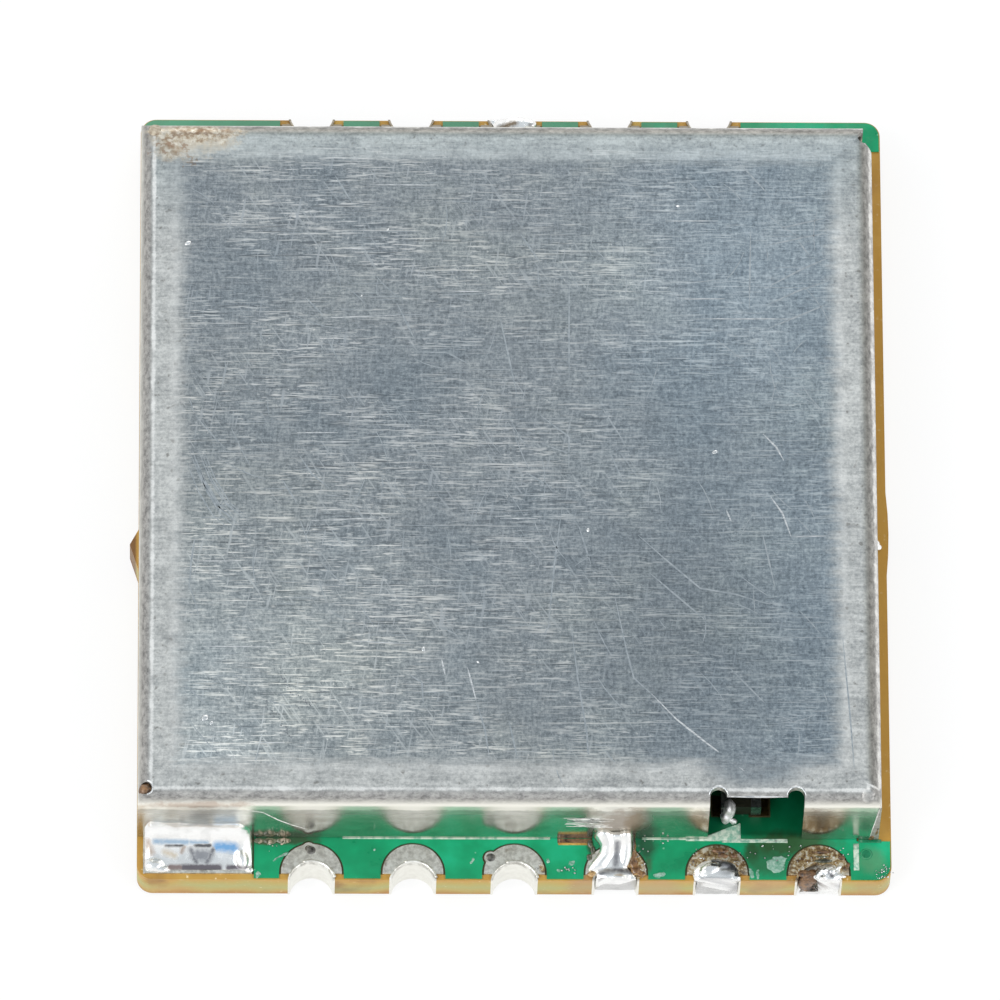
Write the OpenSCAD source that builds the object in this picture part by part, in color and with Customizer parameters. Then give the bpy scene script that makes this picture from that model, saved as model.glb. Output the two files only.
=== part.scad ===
// Castellated radio transmitter module under a folded shield can.
// Millimetres. X runs left to right, Y front to back and Z up.
// The origin is the middle of the board's underside.

/* [Circuit board] */
// Width of the board, left to right
board_w = 18.9; // [18.6:0.1:22]
// Length of the board, front to back
board_l = 21; // [20.6:0.1:24]
// Thickness of the bare laminate
laminate_t = 0.92; // [0.6:0.02:1.6]
// Thickness of the solder mask and of the copper that lies level with it
mask_t = 0.04; // [0.03:0.01:0.06]
// Radius of the board's corners
corner_r = 0.4; // [0.2:0.05:0.6]
// Distance from the board's edge to the mask
mask_pullback = 0.03; // [0.02:0.01:0.08]
// Distance from a land to the mask round it
mask_gap = 0.05; // [0.03:0.01:0.08]
// Length of the broken panel tab on the left edge
left_tab_l = 1.1; // [0.6:0.1:2]
// How far the left tab stands out
left_tab_out = 0.22; // [0.1:0.02:0.4]
// Distance of the left tab in front of the board's middle
left_tab_forward = 1.5; // [0:0.1:4]
// Length of the broken panel tab on the right edge
right_tab_l = 2.3; // [1:0.1:3]
// How far the right tab stands out
right_tab_out = 0.06; // [0.04:0.02:0.2]
// Distance of the right tab in front of the board's middle
right_tab_forward = 1; // [0:0.1:4]

/* [Terminals] */
// Distance from one terminal to the next
terminal_pitch = 2.54; // [2.4:0.02:2.6]
// Radius of the drilled half-holes
drill_r = 0.6; // [0.5:0.02:0.64]
// How far the drill's middle lies outside the board's edge
drill_out = 0.12; // [0.04:0.02:0.2]
// Thickness of the plating in a half-hole
plating_t = 0.05; // [0.03:0.01:0.08]
// Radius of a terminal's land
land_r = 0.76; // [0.72:0.02:0.82]
// How far the middle of a land lies inside the board's edge
land_in = 0.18; // [0.14:0.02:0.22]
// Distance from the board's edge to the lands
land_pullback = 0.14; // [0.06:0.02:0.2]
// Height of the tinned lands above the mask
tin_t = 0.02; // [0.01:0.01:0.05]
// Radius of the open hole in a plated via
via_r = 0.09; // [0.06:0.01:0.12]
// Thickness of the plating in a via
via_plating_t = 0.03; // [0.02:0.01:0.04]
// Radius of the land round a via
via_land_r = 0.16; // [0.14:0.01:0.2]
// Place of the via in the first front terminal, from the terminal's middle and the board's edge
via_first = [-0.07, 0.82]; // [-0.6:0.01:0.84]
// Place of the via in the third front terminal
via_third = [-0.59, 0.59]; // [-0.6:0.01:0.8]
// Distance from the ground pad in the front left corner to the first terminal's land
ground_pad_gap = 0.73; // [0.4:0.01:1.5]
// Distance from the board's left edge to the ground pad
ground_pad_in = 0.16; // [0.1:0.02:0.4]

/* [Shield can] */
// Height of the can
can_h = 2.4; // [2:0.1:3.2]
// Thickness of the can's sheet
sheet_t = 0.2; // [0.15:0.01:0.25]
// Distance from the board's front edge to the can
can_front = 1.12; // [1.06:0.02:1.6]
// Distance from the board's back edge to the can
can_back = 1.18; // [1.06:0.02:1.6]
// Distance from the board's left edge to the can
can_left = 0.02; // [0:0.02:0.4]
// Distance from the board's right edge to the can
can_right = 0.32; // [0.2:0.02:0.5]
// Outer radius of the can's bends
bend_r = 0.35; // [0.3:0.01:0.5]
// Width of the margin that slopes down to the bends
crown_w = 0.7; // [0.4:0.05:1.2]
// Height of the flat top above the start of the bends
crown_h = 0.04; // [0.02:0.01:0.1]
// Gap at the top of the seam where two walls meet at a corner
seam_gap = 0.06; // [0.03:0.01:0.1]
// Gap at the foot of a corner seam
seam_foot_gap = 0.14; // [0.1:0.01:0.2]
// Radius of the relief hole at the top of a seam
relief_r = 0.16; // [0.12:0.01:0.2]
// Distance from the can's face to the middle of a relief hole
relief_in = 0.2; // [0.16:0.01:0.24]
// Depth of a relief hole below the can's top
relief_depth = 0.7; // [0.5:0.05:1]
// How far the clipped back right corner reaches past the can's sheet
clip_over = 0.02; // [0.01:0.01:0.1]
// Length of the can's right wall that is clipped off at the back
clip_l = 0.46; // [0.4:0.02:0.8]
// Width of the window over the antenna terminal
window_w = 2.36; // [1.6:0.02:3]
// Distance from the antenna terminal to the middle of the window
window_shift = 0.94; // [0.6:0.02:1.2]
// Angle of bend left on the lip above the window
window_lip = 33; // [15:1:50]
// Radius of the relief slots at the window's ends
window_slot_r = 0.21; // [0.15:0.01:0.3]
// How far the relief slots reach past the bend into the top
window_slot_over = 0.06; // [0.02:0.01:0.2]
// Width of the can's lands inside its walls
can_land_w = 0.3; // [0.2:0.02:0.4]
// How far the can's lands reach behind its back wall
can_land_back = 0.3; // [0.1:0.02:0.5]
// Distance from the can's front wall to its left land
can_land_front = 0.56; // [0.52:0.02:1]

/* [Solder] */
// Thickness of a solder fillet's thin edges
fillet_edge = 0.06; // [0.04:0.01:0.1]
// Distance from the ground pad's ends to its solder
pad_solder_in = 0.03; // [0.02:0.01:0.3]
// Radius of the ground pad solder's upper corners
pad_solder_r = 0.3; // [0.1:0.05:0.5]
// Width of the fillet that joins the can to the fourth front terminal
bridge_w = 1.06; // [0.8:0.02:1.4]
// Distance from the fillet's middle to the left of that terminal
bridge_left = 0.12; // [0:0.02:0.2]
// Distance from the board's edge to the fillet's thin edge
bridge_in = 0.08; // [0.04:0.02:0.2]
// Height of the solder's lower end in a filled half-hole
fill_from = 0.15; // [0:0.05:0.4]
// Base radius of the dome on a soldered terminal
dome_r = 0.68; // [0.5:0.02:0.7]
// Heights of the domes on the antenna, last front and middle back terminals
dome_heights = [0.34, 0.2, 0.26]; // [0.1:0.02:0.5]
// Radius of the solder tack on the can's right wall
tack_r = 0.16; // [0.1:0.02:0.2]
// Distance of the tack in front of the board's middle
tack_forward = 1.32; // [0:0.02:3]

/* [Printed marks] */
// Thickness of the printed marks
ink_t = 0.015; // [0.01:0.005:0.03]
// Width of the printed line at the foot of the can's front wall
ink_line_w = 0.08; // [0.05:0.01:0.12]
// Distance from the first terminal to the start of the printed line's left run
ink_left_start = 0.78; // [0.4:0.02:1.2]
// Distance from the third terminal to the end of that run
ink_left_end = 0.84; // [0.4:0.02:1]
// How far the printed line's right run starts before the window
ink_right_start = 0.44; // [0.2:0.02:0.8]
// How far that run stops short of the window's end
ink_right_end = 0.36; // [0.1:0.02:0.8]
// Width of the bar beside the last front terminal
ink_bar_w = 0.12; // [0.08:0.02:0.2]
// Length of the bar
ink_bar_l = 0.62; // [0.4:0.02:0.8]
// Distance from the last terminal's mask opening to the bar
ink_bar_gap = 0.08; // [0.04:0.02:0.2]
// Width of the tapered mark inside the window
ink_wedge_w = 0.36; // [0.2:0.02:0.6]
// Length of the tapered mark
ink_wedge_l = 0.28; // [0.2:0.02:0.4]

/* [Chips] */
// Width of the transmitter chip's square body
transmitter_w = 6; // [5:0.5:7]
// Height of the transmitter chip
transmitter_h = 0.85; // [0.6:0.05:1]
// Width of the power amplifier chip's square body
amplifier_w = 3; // [2.5:0.5:3.5]
// Height of the power amplifier chip
amplifier_h = 0.85; // [0.6:0.05:1]
// How far left of the antenna terminal the amplifier chip's middle lies
amplifier_left = 0.28; // [0:0.02:0.6]
// Distance from one chip lead to the next
lead_pitch = 0.5; // [0.4:0.05:0.65]
// Width of a chip lead
lead_w = 0.24; // [0.18:0.01:0.28]
// Length of a chip lead under the body
lead_l = 0.4; // [0.3:0.05:0.5]
// Thickness of the chips' lead frame
lead_frame_t = 0.2; // [0.1:0.05:0.25]
// Distance from the leads to the chip's thermal pad
thermal_gap = 0.35; // [0.25:0.05:0.6]
// Radius of the dimple that marks a chip's first lead
dimple_r = 0.22; // [0.15:0.01:0.3]
// Depth of the dimple
dimple_depth = 0.05; // [0.03:0.01:0.1]
// Distance from the body's edges to the dimple's middle
dimple_in = 0.6; // [0.4:0.05:0.8]

/* [Regulator and crystal] */
// Size of the regulator's body across its leads, along them and in height
regulator = [1.6, 2.9, 1.1]; // [0.9:0.1:3]
// Distance from the can's right wall to the regulator's middle
regulator_in = 3.3; // [2.8:0.1:3.8]
// How far the regulator's leads reach from its middle
regulator_reach = 1.4; // [1.2:0.05:1.6]
// Length of the foot of a regulator lead
regulator_foot = 0.4; // [0.3:0.05:0.5]
// Thickness of the regulator's leads
regulator_lead_t = 0.15; // [0.1:0.01:0.2]
// Width of the regulator's leads
regulator_lead_w = 0.4; // [0.3:0.05:0.5]
// Distance from one regulator lead to the next
regulator_pitch = 0.95; // [0.9:0.05:1.1]
// Height of a regulator lead's shoulder
regulator_shoulder = 0.5; // [0.4:0.05:0.6]
// Gap under the regulator's body
regulator_gap = 0.05; // [0.02:0.01:0.1]
// Slope at the top of the regulator's sides
regulator_draft = 0.08; // [0.02:0.02:0.2]
// Size of the crystal's ceramic base
crystal_base_size = [2.5, 3.2, 0.5]; // [0.4:0.1:3.6]
// Distance from the base's edge to the crystal's lid
crystal_rim = 0.2; // [0.1:0.05:0.3]
// Height of the crystal's lid
crystal_lid_h = 0.25; // [0.15:0.05:0.4]
// Size of the crystal's corner lands
crystal_land = [0.9, 1]; // [0.6:0.1:1.1]

/* [Small parts] */
// Length, width, height and end cap of a small capacitor
capacitor = [1, 0.5, 0.5, 0.25]; // [0.2:0.05:1.1]
// Length, width, height and end cap of a resistor
resistor = [1, 0.5, 0.35, 0.22]; // [0.2:0.05:1.1]
// Length, width, height and end cap of an inductor
inductor = [1, 0.55, 0.5, 0.2]; // [0.2:0.05:1.1]
// Length, width, height and end cap of a bulk capacitor
bulk = [2, 1.25, 1.25, 0.4]; // [0.3:0.05:2.2]
// Length, width, height and end cap of the low-pass filter
filter = [2, 1.25, 0.95, 0.3]; // [0.2:0.05:2.2]
// Height and width by which end caps stand out from a body
cap_skin = 0.02; // [0.01:0.01:0.04]
// Distance from a chip's body to the parts beside it
row_gap = 0.6; // [0.4:0.05:0.7]
// Distance from one part in a row to the next
row_step = 1.6; // [1.5:0.1:1.8]
// How far a land reaches out beyond the part on it
land_toe = 0.2; // [0.1:0.02:0.25]
// Distance from the can's walls to the resistors
resistor_in = 0.8; // [0.6:0.05:1]
// Distance from the can's front wall to the antenna capacitor
antenna_part_in = 0.44; // [0.4:0.02:0.6]
// Distance from the antenna terminal to the antenna capacitor's middle
antenna_part_shift = 0.6; // [0.2:0.02:0.8]
// Distance from the antenna capacitor to the inductor behind it
antenna_part_gap = 0.94; // [0.5:0.02:1.2]
// Distance from the can's left land to the crystal
crystal_in = 0.6; // [0.2:0.05:0.8]
// Distance from the back resistors to the bulk capacitors and the regulator
bulk_gap = 0.4; // [0.3:0.05:0.6]
// Distance from the bulk capacitors to the capacitors behind the transmitter chip
bulk_row_gap = 0.8; // [0.4:0.05:1]

/* [Hidden] */
$fn = 64;
FRONT_COUNT = 6;
BACK_COUNT = 5;
ANTENNA_INDEX = 5;
BRIDGED_INDEX = 4;
over = 1;

// Heights of the layers
core_z = mask_t;
core_top = core_z + laminate_t;
mask_top = core_top + mask_t;
land_top = mask_top + tin_t;
bore_r = drill_r - plating_t;

// Edges of the board and faces of the can
front_y = -board_l / 2;
back_y = board_l / 2;
can_x0 = -board_w / 2 + can_left;
can_x1 = board_w / 2 - can_right;
can_y0 = front_y + can_front;
can_y1 = back_y - can_back;
can_w = can_x1 - can_x0;
can_l = can_y1 - can_y0;
bend_z = can_h - crown_h - bend_r;
window_x = front_x(ANTENNA_INDEX) + window_shift;
ink_runs = [
    [front_x(1) + ink_left_start, front_x(3) + ink_left_end],
    [window_x - window_w / 2 - ink_right_start, window_x + window_w / 2 - ink_right_end]
];
inner_y0 = can_y0 + sheet_t;
inner_y1 = can_y1 - sheet_t;
pad_x0 = -board_w / 2 + ground_pad_in;
ground_pad_w = front_x(1) - land_r - ground_pad_gap - pad_x0;
fillet_depth = can_front - land_pullback;

// Places of the small parts: middle and turn
row_out = transmitter_w / 2 + row_gap + capacitor[1] / 2;
amplifier_edge = amplifier_w / 2 + row_gap;
back_row_y = inner_y1 - resistor_in - resistor[0] - bulk_gap;
bulk_y = back_row_y - bulk[1] / 2;
crystal_x = can_x0 + sheet_t + can_land_w + crystal_in + crystal_base_size[0] / 2;
transmitter_at = [
    crystal_x + crystal_base_size[0] / 2 + row_gap + transmitter_w / 2,
    back_row_y - bulk[1] - bulk_row_gap - capacitor[1] - row_gap - transmitter_w / 2
];
crystal_at = [crystal_x, transmitter_at[1]];
regulator_at = [can_x1 - regulator_in, back_row_y - regulator[1] / 2];
antenna_part_at = [
    front_x(ANTENNA_INDEX) + antenna_part_shift,
    inner_y0 + antenna_part_in + capacitor[1] / 2
];
filter_at = [
    front_x(ANTENNA_INDEX) - amplifier_left,
    antenna_part_at[1] + capacitor[1] / 2 + antenna_part_gap + inductor[0] + row_gap + filter[0] / 2
];
amplifier_at = filter_at + [0, filter[0] / 2 + amplifier_edge];
capacitor_places = concat(
    [for (side = [-1, 1], i = [-1.5:1.5]) concat(transmitter_at + [i * row_step, side * row_out], 0)],
    [for (i = [-1:1]) concat(transmitter_at + [row_out, i * row_step], 90)],
    [concat(antenna_part_at, 0)]
);
resistor_places = concat(
    [for (i = [1:3]) [front_x(i), inner_y0 + resistor_in + resistor[0] / 2, 90]],
    [for (i = [1:BACK_COUNT]) [back_x(i), inner_y1 - resistor_in - resistor[0] / 2, 90]]
);
inductor_places = [
    concat(amplifier_at + [0, amplifier_edge + inductor[1] / 2], 0),
    concat(amplifier_at + [amplifier_edge + inductor[1] / 2, 0], 90),
    concat(filter_at - [0, filter[0] / 2 + row_gap + inductor[0] / 2], 90)
];
bulk_step = bulk[0] / 2 + land_toe + bulk_gap / 2;
bulk_places = [for (side = [-1, 1]) [transmitter_at[0] + side * bulk_step, bulk_y, 0]];
filter_places = [concat(filter_at, 90)];

function front_x(i) = (i - 3) * terminal_pitch;
function back_x(i) = (i - 3) * terminal_pitch;
function lead_count(w) = floor((w - 2 * lead_l - lead_w) / lead_pitch) + 1;

// Frames of reference: the board's edge at y = 0, with the board behind it
module at_front(i) translate([front_x(i), front_y]) children();
module at_back(i) translate([back_x(i), back_y]) rotate(180) children();
module at_each_terminal() {
    for (i = [1:FRONT_COUNT]) at_front(i) children();
    for (i = [1:BACK_COUNT]) at_back(i) children();
}
module at_places(places) {
    for (p = places) translate([p[0], p[1]]) rotate(p[2]) children();
}
module behind_edge() translate([-over, 0]) square([2 * over, 2 * over]);

// Board outline
module rounded_rectangle(w, l, r) {
    square([w - 2 * r, l], center = true);
    square([w, l - 2 * r], center = true);
    for (x = [-1, 1], y = [-1, 1]) translate([x * (w / 2 - r), y * (l / 2 - r)]) circle(r = r);
}
module left_tab() {
    tip_y = left_tab_l / 8;
    translate([-board_w / 2, -left_tab_forward])
        polygon([[0, left_tab_l / 2], [-left_tab_out, tip_y], [0, -left_tab_l / 2]]);
}
module right_tab() {
    arc_r = (pow(right_tab_l / 2, 2) + pow(right_tab_out, 2)) / (2 * right_tab_out);
    translate([board_w / 2, -right_tab_forward]) intersection() {
        translate([right_tab_out - arc_r, 0]) circle(r = arc_r);
        translate([-right_tab_out, -right_tab_l]) square([3 * right_tab_out, 2 * right_tab_l]);
    }
}
module half_hole(r) translate([0, -drill_out]) circle(r = r);
module vias(r) {
    at_front(1) translate(via_first) circle(r = r);
    at_front(3) translate(via_third) circle(r = r);
}
module board_outline() {
    difference() {
        union() {
            rounded_rectangle(board_w, board_l, corner_r);
            left_tab();
            right_tab();
        }
        at_each_terminal() half_hole(drill_r);
        vias(via_r + via_plating_t);
    }
}

// Lands and the mask openings round them
module terminal_land(margin = 0) {
    translate([0, land_in]) circle(r = land_r + margin);
    translate([-land_r - margin, -over]) square([2 * (land_r + margin), over + land_in]);
}
module ground_pad_outline() {
    translate([pad_x0, front_y + land_pullback]) square([ground_pad_w, can_front + sheet_t - land_pullback]);
}
module ground_pad_opening() {
    x0 = -board_w / 2 - over;
    y0 = front_y - over;
    translate([x0, y0]) square([pad_x0 + ground_pad_w + mask_gap - x0, inner_y0 + mask_gap - y0]);
}
module can_land_outline_left(margin = 0) {
    y0 = can_y0 + can_land_front - margin;
    translate([can_x0 - margin, y0])
        square([sheet_t + can_land_w + 2 * margin, can_y1 + can_land_back - y0 + margin]);
}
module can_land_outline_right(margin = 0) {
    w = sheet_t + can_land_w;
    translate([can_x1 - w - margin, can_y0 - margin])
        square([w + 2 * margin, can_l + can_land_back + 2 * margin]);
}
module bare_side_strip() {
    translate([can_x1, can_y0 - mask_gap])
        square([board_w / 2 - can_x1 + over, can_l + can_land_back + 2 * mask_gap]);
}
module end_lands(places, part, margin = 0) {
    land_l = part[3] + land_toe;
    at_places(places) for (side = [-1, 1])
        translate([side * (part[0] / 2 + land_toe - land_l / 2), 0])
            square([land_l + 2 * margin, part[1] + 2 * margin], center = true);
}
module chip_leads_outline(w, toe) {
    count = lead_count(w);
    for (turn = [0:90:270], i = [0:count - 1])
        rotate(turn) translate([w / 2 - lead_l, (i - (count - 1) / 2) * lead_pitch - lead_w / 2])
            square([lead_l + toe, lead_w]);
    thermal_pad_outline(w);
}
module thermal_pad_outline(w, margin = 0) {
    square(w - 2 * (lead_l + thermal_gap) + 2 * margin, center = true);
}
module chip_openings(w) {
    run = (lead_count(w) - 1) * lead_pitch + lead_w + 2 * mask_gap;
    for (turn = [0:90:270])
        rotate(turn) translate([w / 2 - lead_l - mask_gap, -run / 2])
            square([lead_l + land_toe + 2 * mask_gap, run]);
    thermal_pad_outline(w, mask_gap);
}
module crystal_lands_outline(margin = 0) {
    translate(crystal_at) for (x = [-1, 1], y = [-1, 1])
        translate([x * (crystal_base_size[0] - crystal_land[0]),
                   y * (crystal_base_size[1] - crystal_land[1])] / 2)
            square(crystal_land + [2 * margin, 2 * margin], center = true);
}
module at_regulator_leads() {
    translate(regulator_at) {
        for (i = [-1:1]) translate([0, i * regulator_pitch]) children();
        for (i = [-1, 1]) translate([0, i * regulator_pitch]) rotate(180) children();
    }
}
module regulator_lands_outline(margin = 0) {
    at_regulator_leads()
        translate([regulator_reach - regulator_foot - margin, -regulator_lead_w / 2 - margin])
            square([regulator_foot + land_toe + 2 * margin, regulator_lead_w + 2 * margin]);
}
module small_part_lands(margin = 0) {
    end_lands(capacitor_places, capacitor, margin);
    end_lands(resistor_places, resistor, margin);
    end_lands(inductor_places, inductor, margin);
    end_lands(bulk_places, bulk, margin);
    end_lands(filter_places, filter, margin);
    crystal_lands_outline(margin);
    regulator_lands_outline(margin);
}

// Board and its layers
module circuit_board() {
    color("goldenrod") translate([0, 0, core_z]) linear_extrude(laminate_t) board_outline();
}
module mask_sheet() {
    inset = 2 * mask_pullback;
    rounded_rectangle(board_w - inset, board_l - inset, corner_r - mask_pullback);
}
module solder_mask_top() {
    color("seagreen") translate([0, 0, core_top]) linear_extrude(mask_t) difference() {
        mask_sheet();
        at_each_terminal() terminal_land(mask_gap);
        vias(via_land_r + mask_gap);
        ground_pad_opening();
        can_land_outline_left(mask_gap);
        can_land_outline_right(mask_gap);
        bare_side_strip();
        translate(transmitter_at) chip_openings(transmitter_w);
        translate(amplifier_at) chip_openings(amplifier_w);
        small_part_lands(mask_gap);
    }
}
module solder_mask_bottom() {
    color("seagreen") linear_extrude(mask_t) difference() {
        mask_sheet();
        at_each_terminal() terminal_land(mask_gap);
        vias(via_land_r + mask_gap);
    }
}
module tapered_mark(w, l) polygon([[0, 0], [w, 0], [w, l], [w / 2, l]]);
module silkscreen_marks() {
    bar_x = front_x(FRONT_COUNT) + land_r + mask_gap + ink_bar_gap;
    wedge_x = front_x(ANTENNA_INDEX) + antenna_part_shift - ink_wedge_w / 2;
    color("white") translate([0, 0, mask_top]) linear_extrude(ink_t) difference() {
        union() {
            for (run = ink_runs)
                translate([run[0], can_y0 - ink_line_w]) square([run[1] - run[0], ink_line_w]);
            translate([bar_x, can_y0 - ink_line_w - ink_bar_l]) square([ink_bar_w, ink_bar_l]);
            translate([wedge_x, can_y0]) tapered_mark(ink_wedge_w, ink_wedge_l);
        }
        at_each_terminal() terminal_land(mask_gap);
        vias(via_land_r + mask_gap);
    }
}

// Terminals and lands
module terminal_face(via) {
    difference() {
        union() {
            terminal_land();
            if (via) translate(via) circle(r = via_land_r);
        }
        translate([-over, -2 * over]) square([2 * over, 2 * over + land_pullback]);
        half_hole(bore_r);
        if (via) translate(via) circle(r = via_r);
    }
}
module plated_walls(via) {
    intersection() {
        difference() {
            half_hole(drill_r);
            half_hole(bore_r);
        }
        behind_edge();
    }
    if (via) translate(via) difference() {
        circle(r = via_r + via_plating_t);
        circle(r = via_r);
    }
}
module terminal(via = false) {
    color("silver") {
        linear_extrude(land_top) plated_walls(via);
        linear_extrude(mask_t) terminal_face(via);
        translate([0, 0, core_top]) linear_extrude(land_top - core_top) terminal_face(via);
    }
}
module terminal_front(i) at_front(i) terminal(i == 1 ? via_first : i == 3 ? via_third : false);
module terminal_back(i) at_back(i) terminal();
module on_laminate() {
    translate([0, 0, core_top]) linear_extrude(land_top - core_top) children();
}
module ground_pad() color("silver") on_laminate() ground_pad_outline();
module can_land_left() color("silver") on_laminate() can_land_outline_left();
module can_land_right() color("silver") on_laminate() can_land_outline_right();
module component_lands() {
    color("gold") on_laminate() {
        translate(transmitter_at) chip_leads_outline(transmitter_w, land_toe);
        translate(amplifier_at) chip_leads_outline(amplifier_w, land_toe);
        small_part_lands();
    }
}

// Shield can: one sheet folded down on four sides
module can_section(span, inset) {
    half = span / 2 - inset;
    r = bend_r - inset;
    foot = inset > 0 ? -over : 0;
    arc_x = half - r;
    polygon([
        [-half, foot], [half, foot], [half, bend_z], [arc_x, bend_z + r], [arc_x - crown_w, can_h - inset],
        [crown_w - arc_x, can_h - inset], [-arc_x, bend_z + r], [-half, bend_z]
    ]);
    for (side = [-1, 1]) translate([side * arc_x, bend_z]) circle(r = r);
}
module can_block(inset = 0) {
    intersection() {
        rotate([90, 0, 0]) linear_extrude(can_l + over, center = true) can_section(can_w, inset);
        rotate([90, 0, 90]) linear_extrude(can_w + over, center = true) can_section(can_l, inset);
    }
}
module corner_seam() {
    translate([-over, sheet_t, 0]) rotate([90, 0, 90]) linear_extrude(over + sheet_t)
        polygon([[0, -over], [seam_foot_gap, -over], [seam_foot_gap, 0], [seam_gap, bend_z], [0, bend_z]]);
    translate([relief_in, bend_r, can_h - relief_depth]) cylinder(r = relief_r, h = relief_depth + over);
}
module clipped_corner() {
    clip_w = sheet_t + clip_over;
    translate([0, 0, -over]) linear_extrude(can_h + 2 * over)
        polygon([[over, over], [-clip_w, over], [-clip_w, -clip_l], [over, -clip_l - clip_w - over]]);
}
module window_cut() {
    ray =[-sin(window_lip), cos(window_lip)];
    rotate([90, 0, 90]) linear_extrude(window_w, center = true)
        polygon([
            [bend_r, bend_z], [bend_r, bend_z] + ray, [-over, bend_z + ray[1]],
            [-over, -over], [bend_r, -over]
        ]);
    slot_y = bend_r + window_slot_over - window_slot_r;
    for (side = [-1, 1]) translate([side * (window_w / 2 - window_slot_r), 0, bend_z])
        linear_extrude(bend_r + over) {
            translate([0, slot_y]) circle(r = window_slot_r);
            translate([-window_slot_r, -over]) square([2 * window_slot_r, over + slot_y]);
        }
}
module shield_can() {
    corners = [[can_x0, can_y0], [can_x1, can_y0], [can_x1, can_y1], [can_x0, can_y1]];
    color("lightsteelblue") translate([0, 0, land_top]) difference() {
        translate([(can_x0 + can_x1) / 2, (can_y0 + can_y1) / 2]) difference() {
            can_block();
            can_block(sheet_t);
        }
        for (i = [0:3]) translate(corners[i]) rotate(90 * i) corner_seam();
        translate([can_x1, can_y1]) clipped_corner();
        translate([window_x, can_y0]) window_cut();
    }
}

// Solder
module cove(depth) {
    difference() {
        square([depth, depth + fillet_edge]);
        translate([depth + fillet_edge, depth + fillet_edge]) circle(r = depth);
    }
}
module wall_fillet(w, depth) {
    rotate([90, 0, -90]) linear_extrude(w, center = true) cove(depth);
}
module filled_hole() {
    translate([0, 0, fill_from]) linear_extrude(land_top - fill_from) intersection() {
        half_hole(bore_r);
        behind_edge();
    }
}
module round_topped(w, h, r) {
    translate([-w / 2, 0]) square([w, h - r]);
    translate([r - w / 2, 0]) square([w - 2 * r, h]);
    for (side = [-1, 1]) translate([side * (w / 2 - r), h - r]) circle(r = r);
}
module ground_pad_solder() {
    w = ground_pad_w - 2 * pad_solder_in;
    color("whitesmoke") translate([pad_x0 + ground_pad_w / 2, can_y0, land_top]) intersection() {
        wall_fillet(w, fillet_depth);
        rotate([90, 0, 0]) linear_extrude(can_front)
            round_topped(w, fillet_depth + fillet_edge, pad_solder_r);
    }
}
module bridge_solder() {
    color("whitesmoke") difference() {
        union() {
            translate([front_x(BRIDGED_INDEX) - bridge_left, can_y0, mask_top])
                wall_fillet(bridge_w, can_front - bridge_in);
            at_front(BRIDGED_INDEX) filled_hole();
        }
        at_front(BRIDGED_INDEX) terminal();
    }
}
module terminal_solder(height) {
    ball_r = (dome_r * dome_r + height * height) / (2 * height);
    color("whitesmoke") {
        filled_hole();
        intersection() {
            translate([0, land_in, land_top + height - ball_r]) sphere(r = ball_r);
            translate([0, 0, land_top]) linear_extrude(2 * height) behind_edge();
        }
    }
}
module antenna_terminal_solder() at_front(ANTENNA_INDEX) terminal_solder(dome_heights[0]);
module last_terminal_solder() at_front(FRONT_COUNT) terminal_solder(dome_heights[1]);
module back_terminal_solder() at_back(3) terminal_solder(dome_heights[2]);
module can_solder_tack() {
    color("whitesmoke") translate([can_x1, -tack_forward, core_top]) intersection() {
        sphere(r = tack_r);
        translate([0, -over, 0]) cube([over, 2 * over, over]);
    }
}

// Chips with leads under their edges
module chip_body(at, w, h) {
    color("dimgray") translate([at[0], at[1], land_top]) difference() {
        translate([-w / 2, -w / 2, 0]) cube([w, w, h]);
        translate([0, 0, -over]) linear_extrude(over + lead_frame_t) chip_leads_outline(w, over);
        translate([dimple_in - w / 2, w / 2 - dimple_in, h - dimple_depth]) cylinder(r = dimple_r, h = over);
    }
}
module chip_leads(at, w) {
    color("silver") translate([at[0], at[1], land_top]) linear_extrude(lead_frame_t) chip_leads_outline(w, 0);
}
module transmitter_chip() chip_body(transmitter_at, transmitter_w, transmitter_h);
module transmitter_leads() chip_leads(transmitter_at, transmitter_w);
module amplifier_chip() chip_body(amplifier_at, amplifier_w, amplifier_h);
module amplifier_leads() chip_leads(amplifier_at, amplifier_w);

// Regulator with bent leads, and crystal
module regulator_body() {
    half = regulator[0] / 2;
    knee = regulator_shoulder + regulator_lead_t;
    top = half - regulator_draft;
    color("dimgray") translate([regulator_at[0], regulator_at[1], land_top])
        rotate([90, 0, 0]) linear_extrude(regulator[1], center = true)
            polygon([
                [-half, regulator_gap], [half, regulator_gap], [half, knee],
                [top, regulator[2]], [-top, regulator[2]], [-half, knee]
            ]);
}
module regulator_leads() {
    half = regulator[0] / 2;
    heel = regulator_reach - regulator_foot;
    t = regulator_lead_t;
    color("silver") translate([0, 0, land_top]) at_regulator_leads()
        rotate([90, 0, 0]) linear_extrude(regulator_lead_w, center = true)
            polygon([
                [half, regulator_shoulder], [heel, regulator_shoulder], [heel, 0],
                [regulator_reach, 0], [regulator_reach, t], [heel + t, t],
                [heel + t, regulator_shoulder + t], [half, regulator_shoulder + t]
            ]);
}
module crystal_base() {
    color("tan") translate([crystal_at[0], crystal_at[1], land_top]) linear_extrude(crystal_base_size[2])
        square([crystal_base_size[0], crystal_base_size[1]], center = true);
}
module crystal_lid() {
    w = crystal_base_size[0] - 2 * crystal_rim;
    l = crystal_base_size[1] - 2 * crystal_rim;
    color("silver") translate([crystal_at[0], crystal_at[1], land_top + crystal_base_size[2]])
        linear_extrude(crystal_lid_h) square([w, l], center = true);
}

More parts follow.
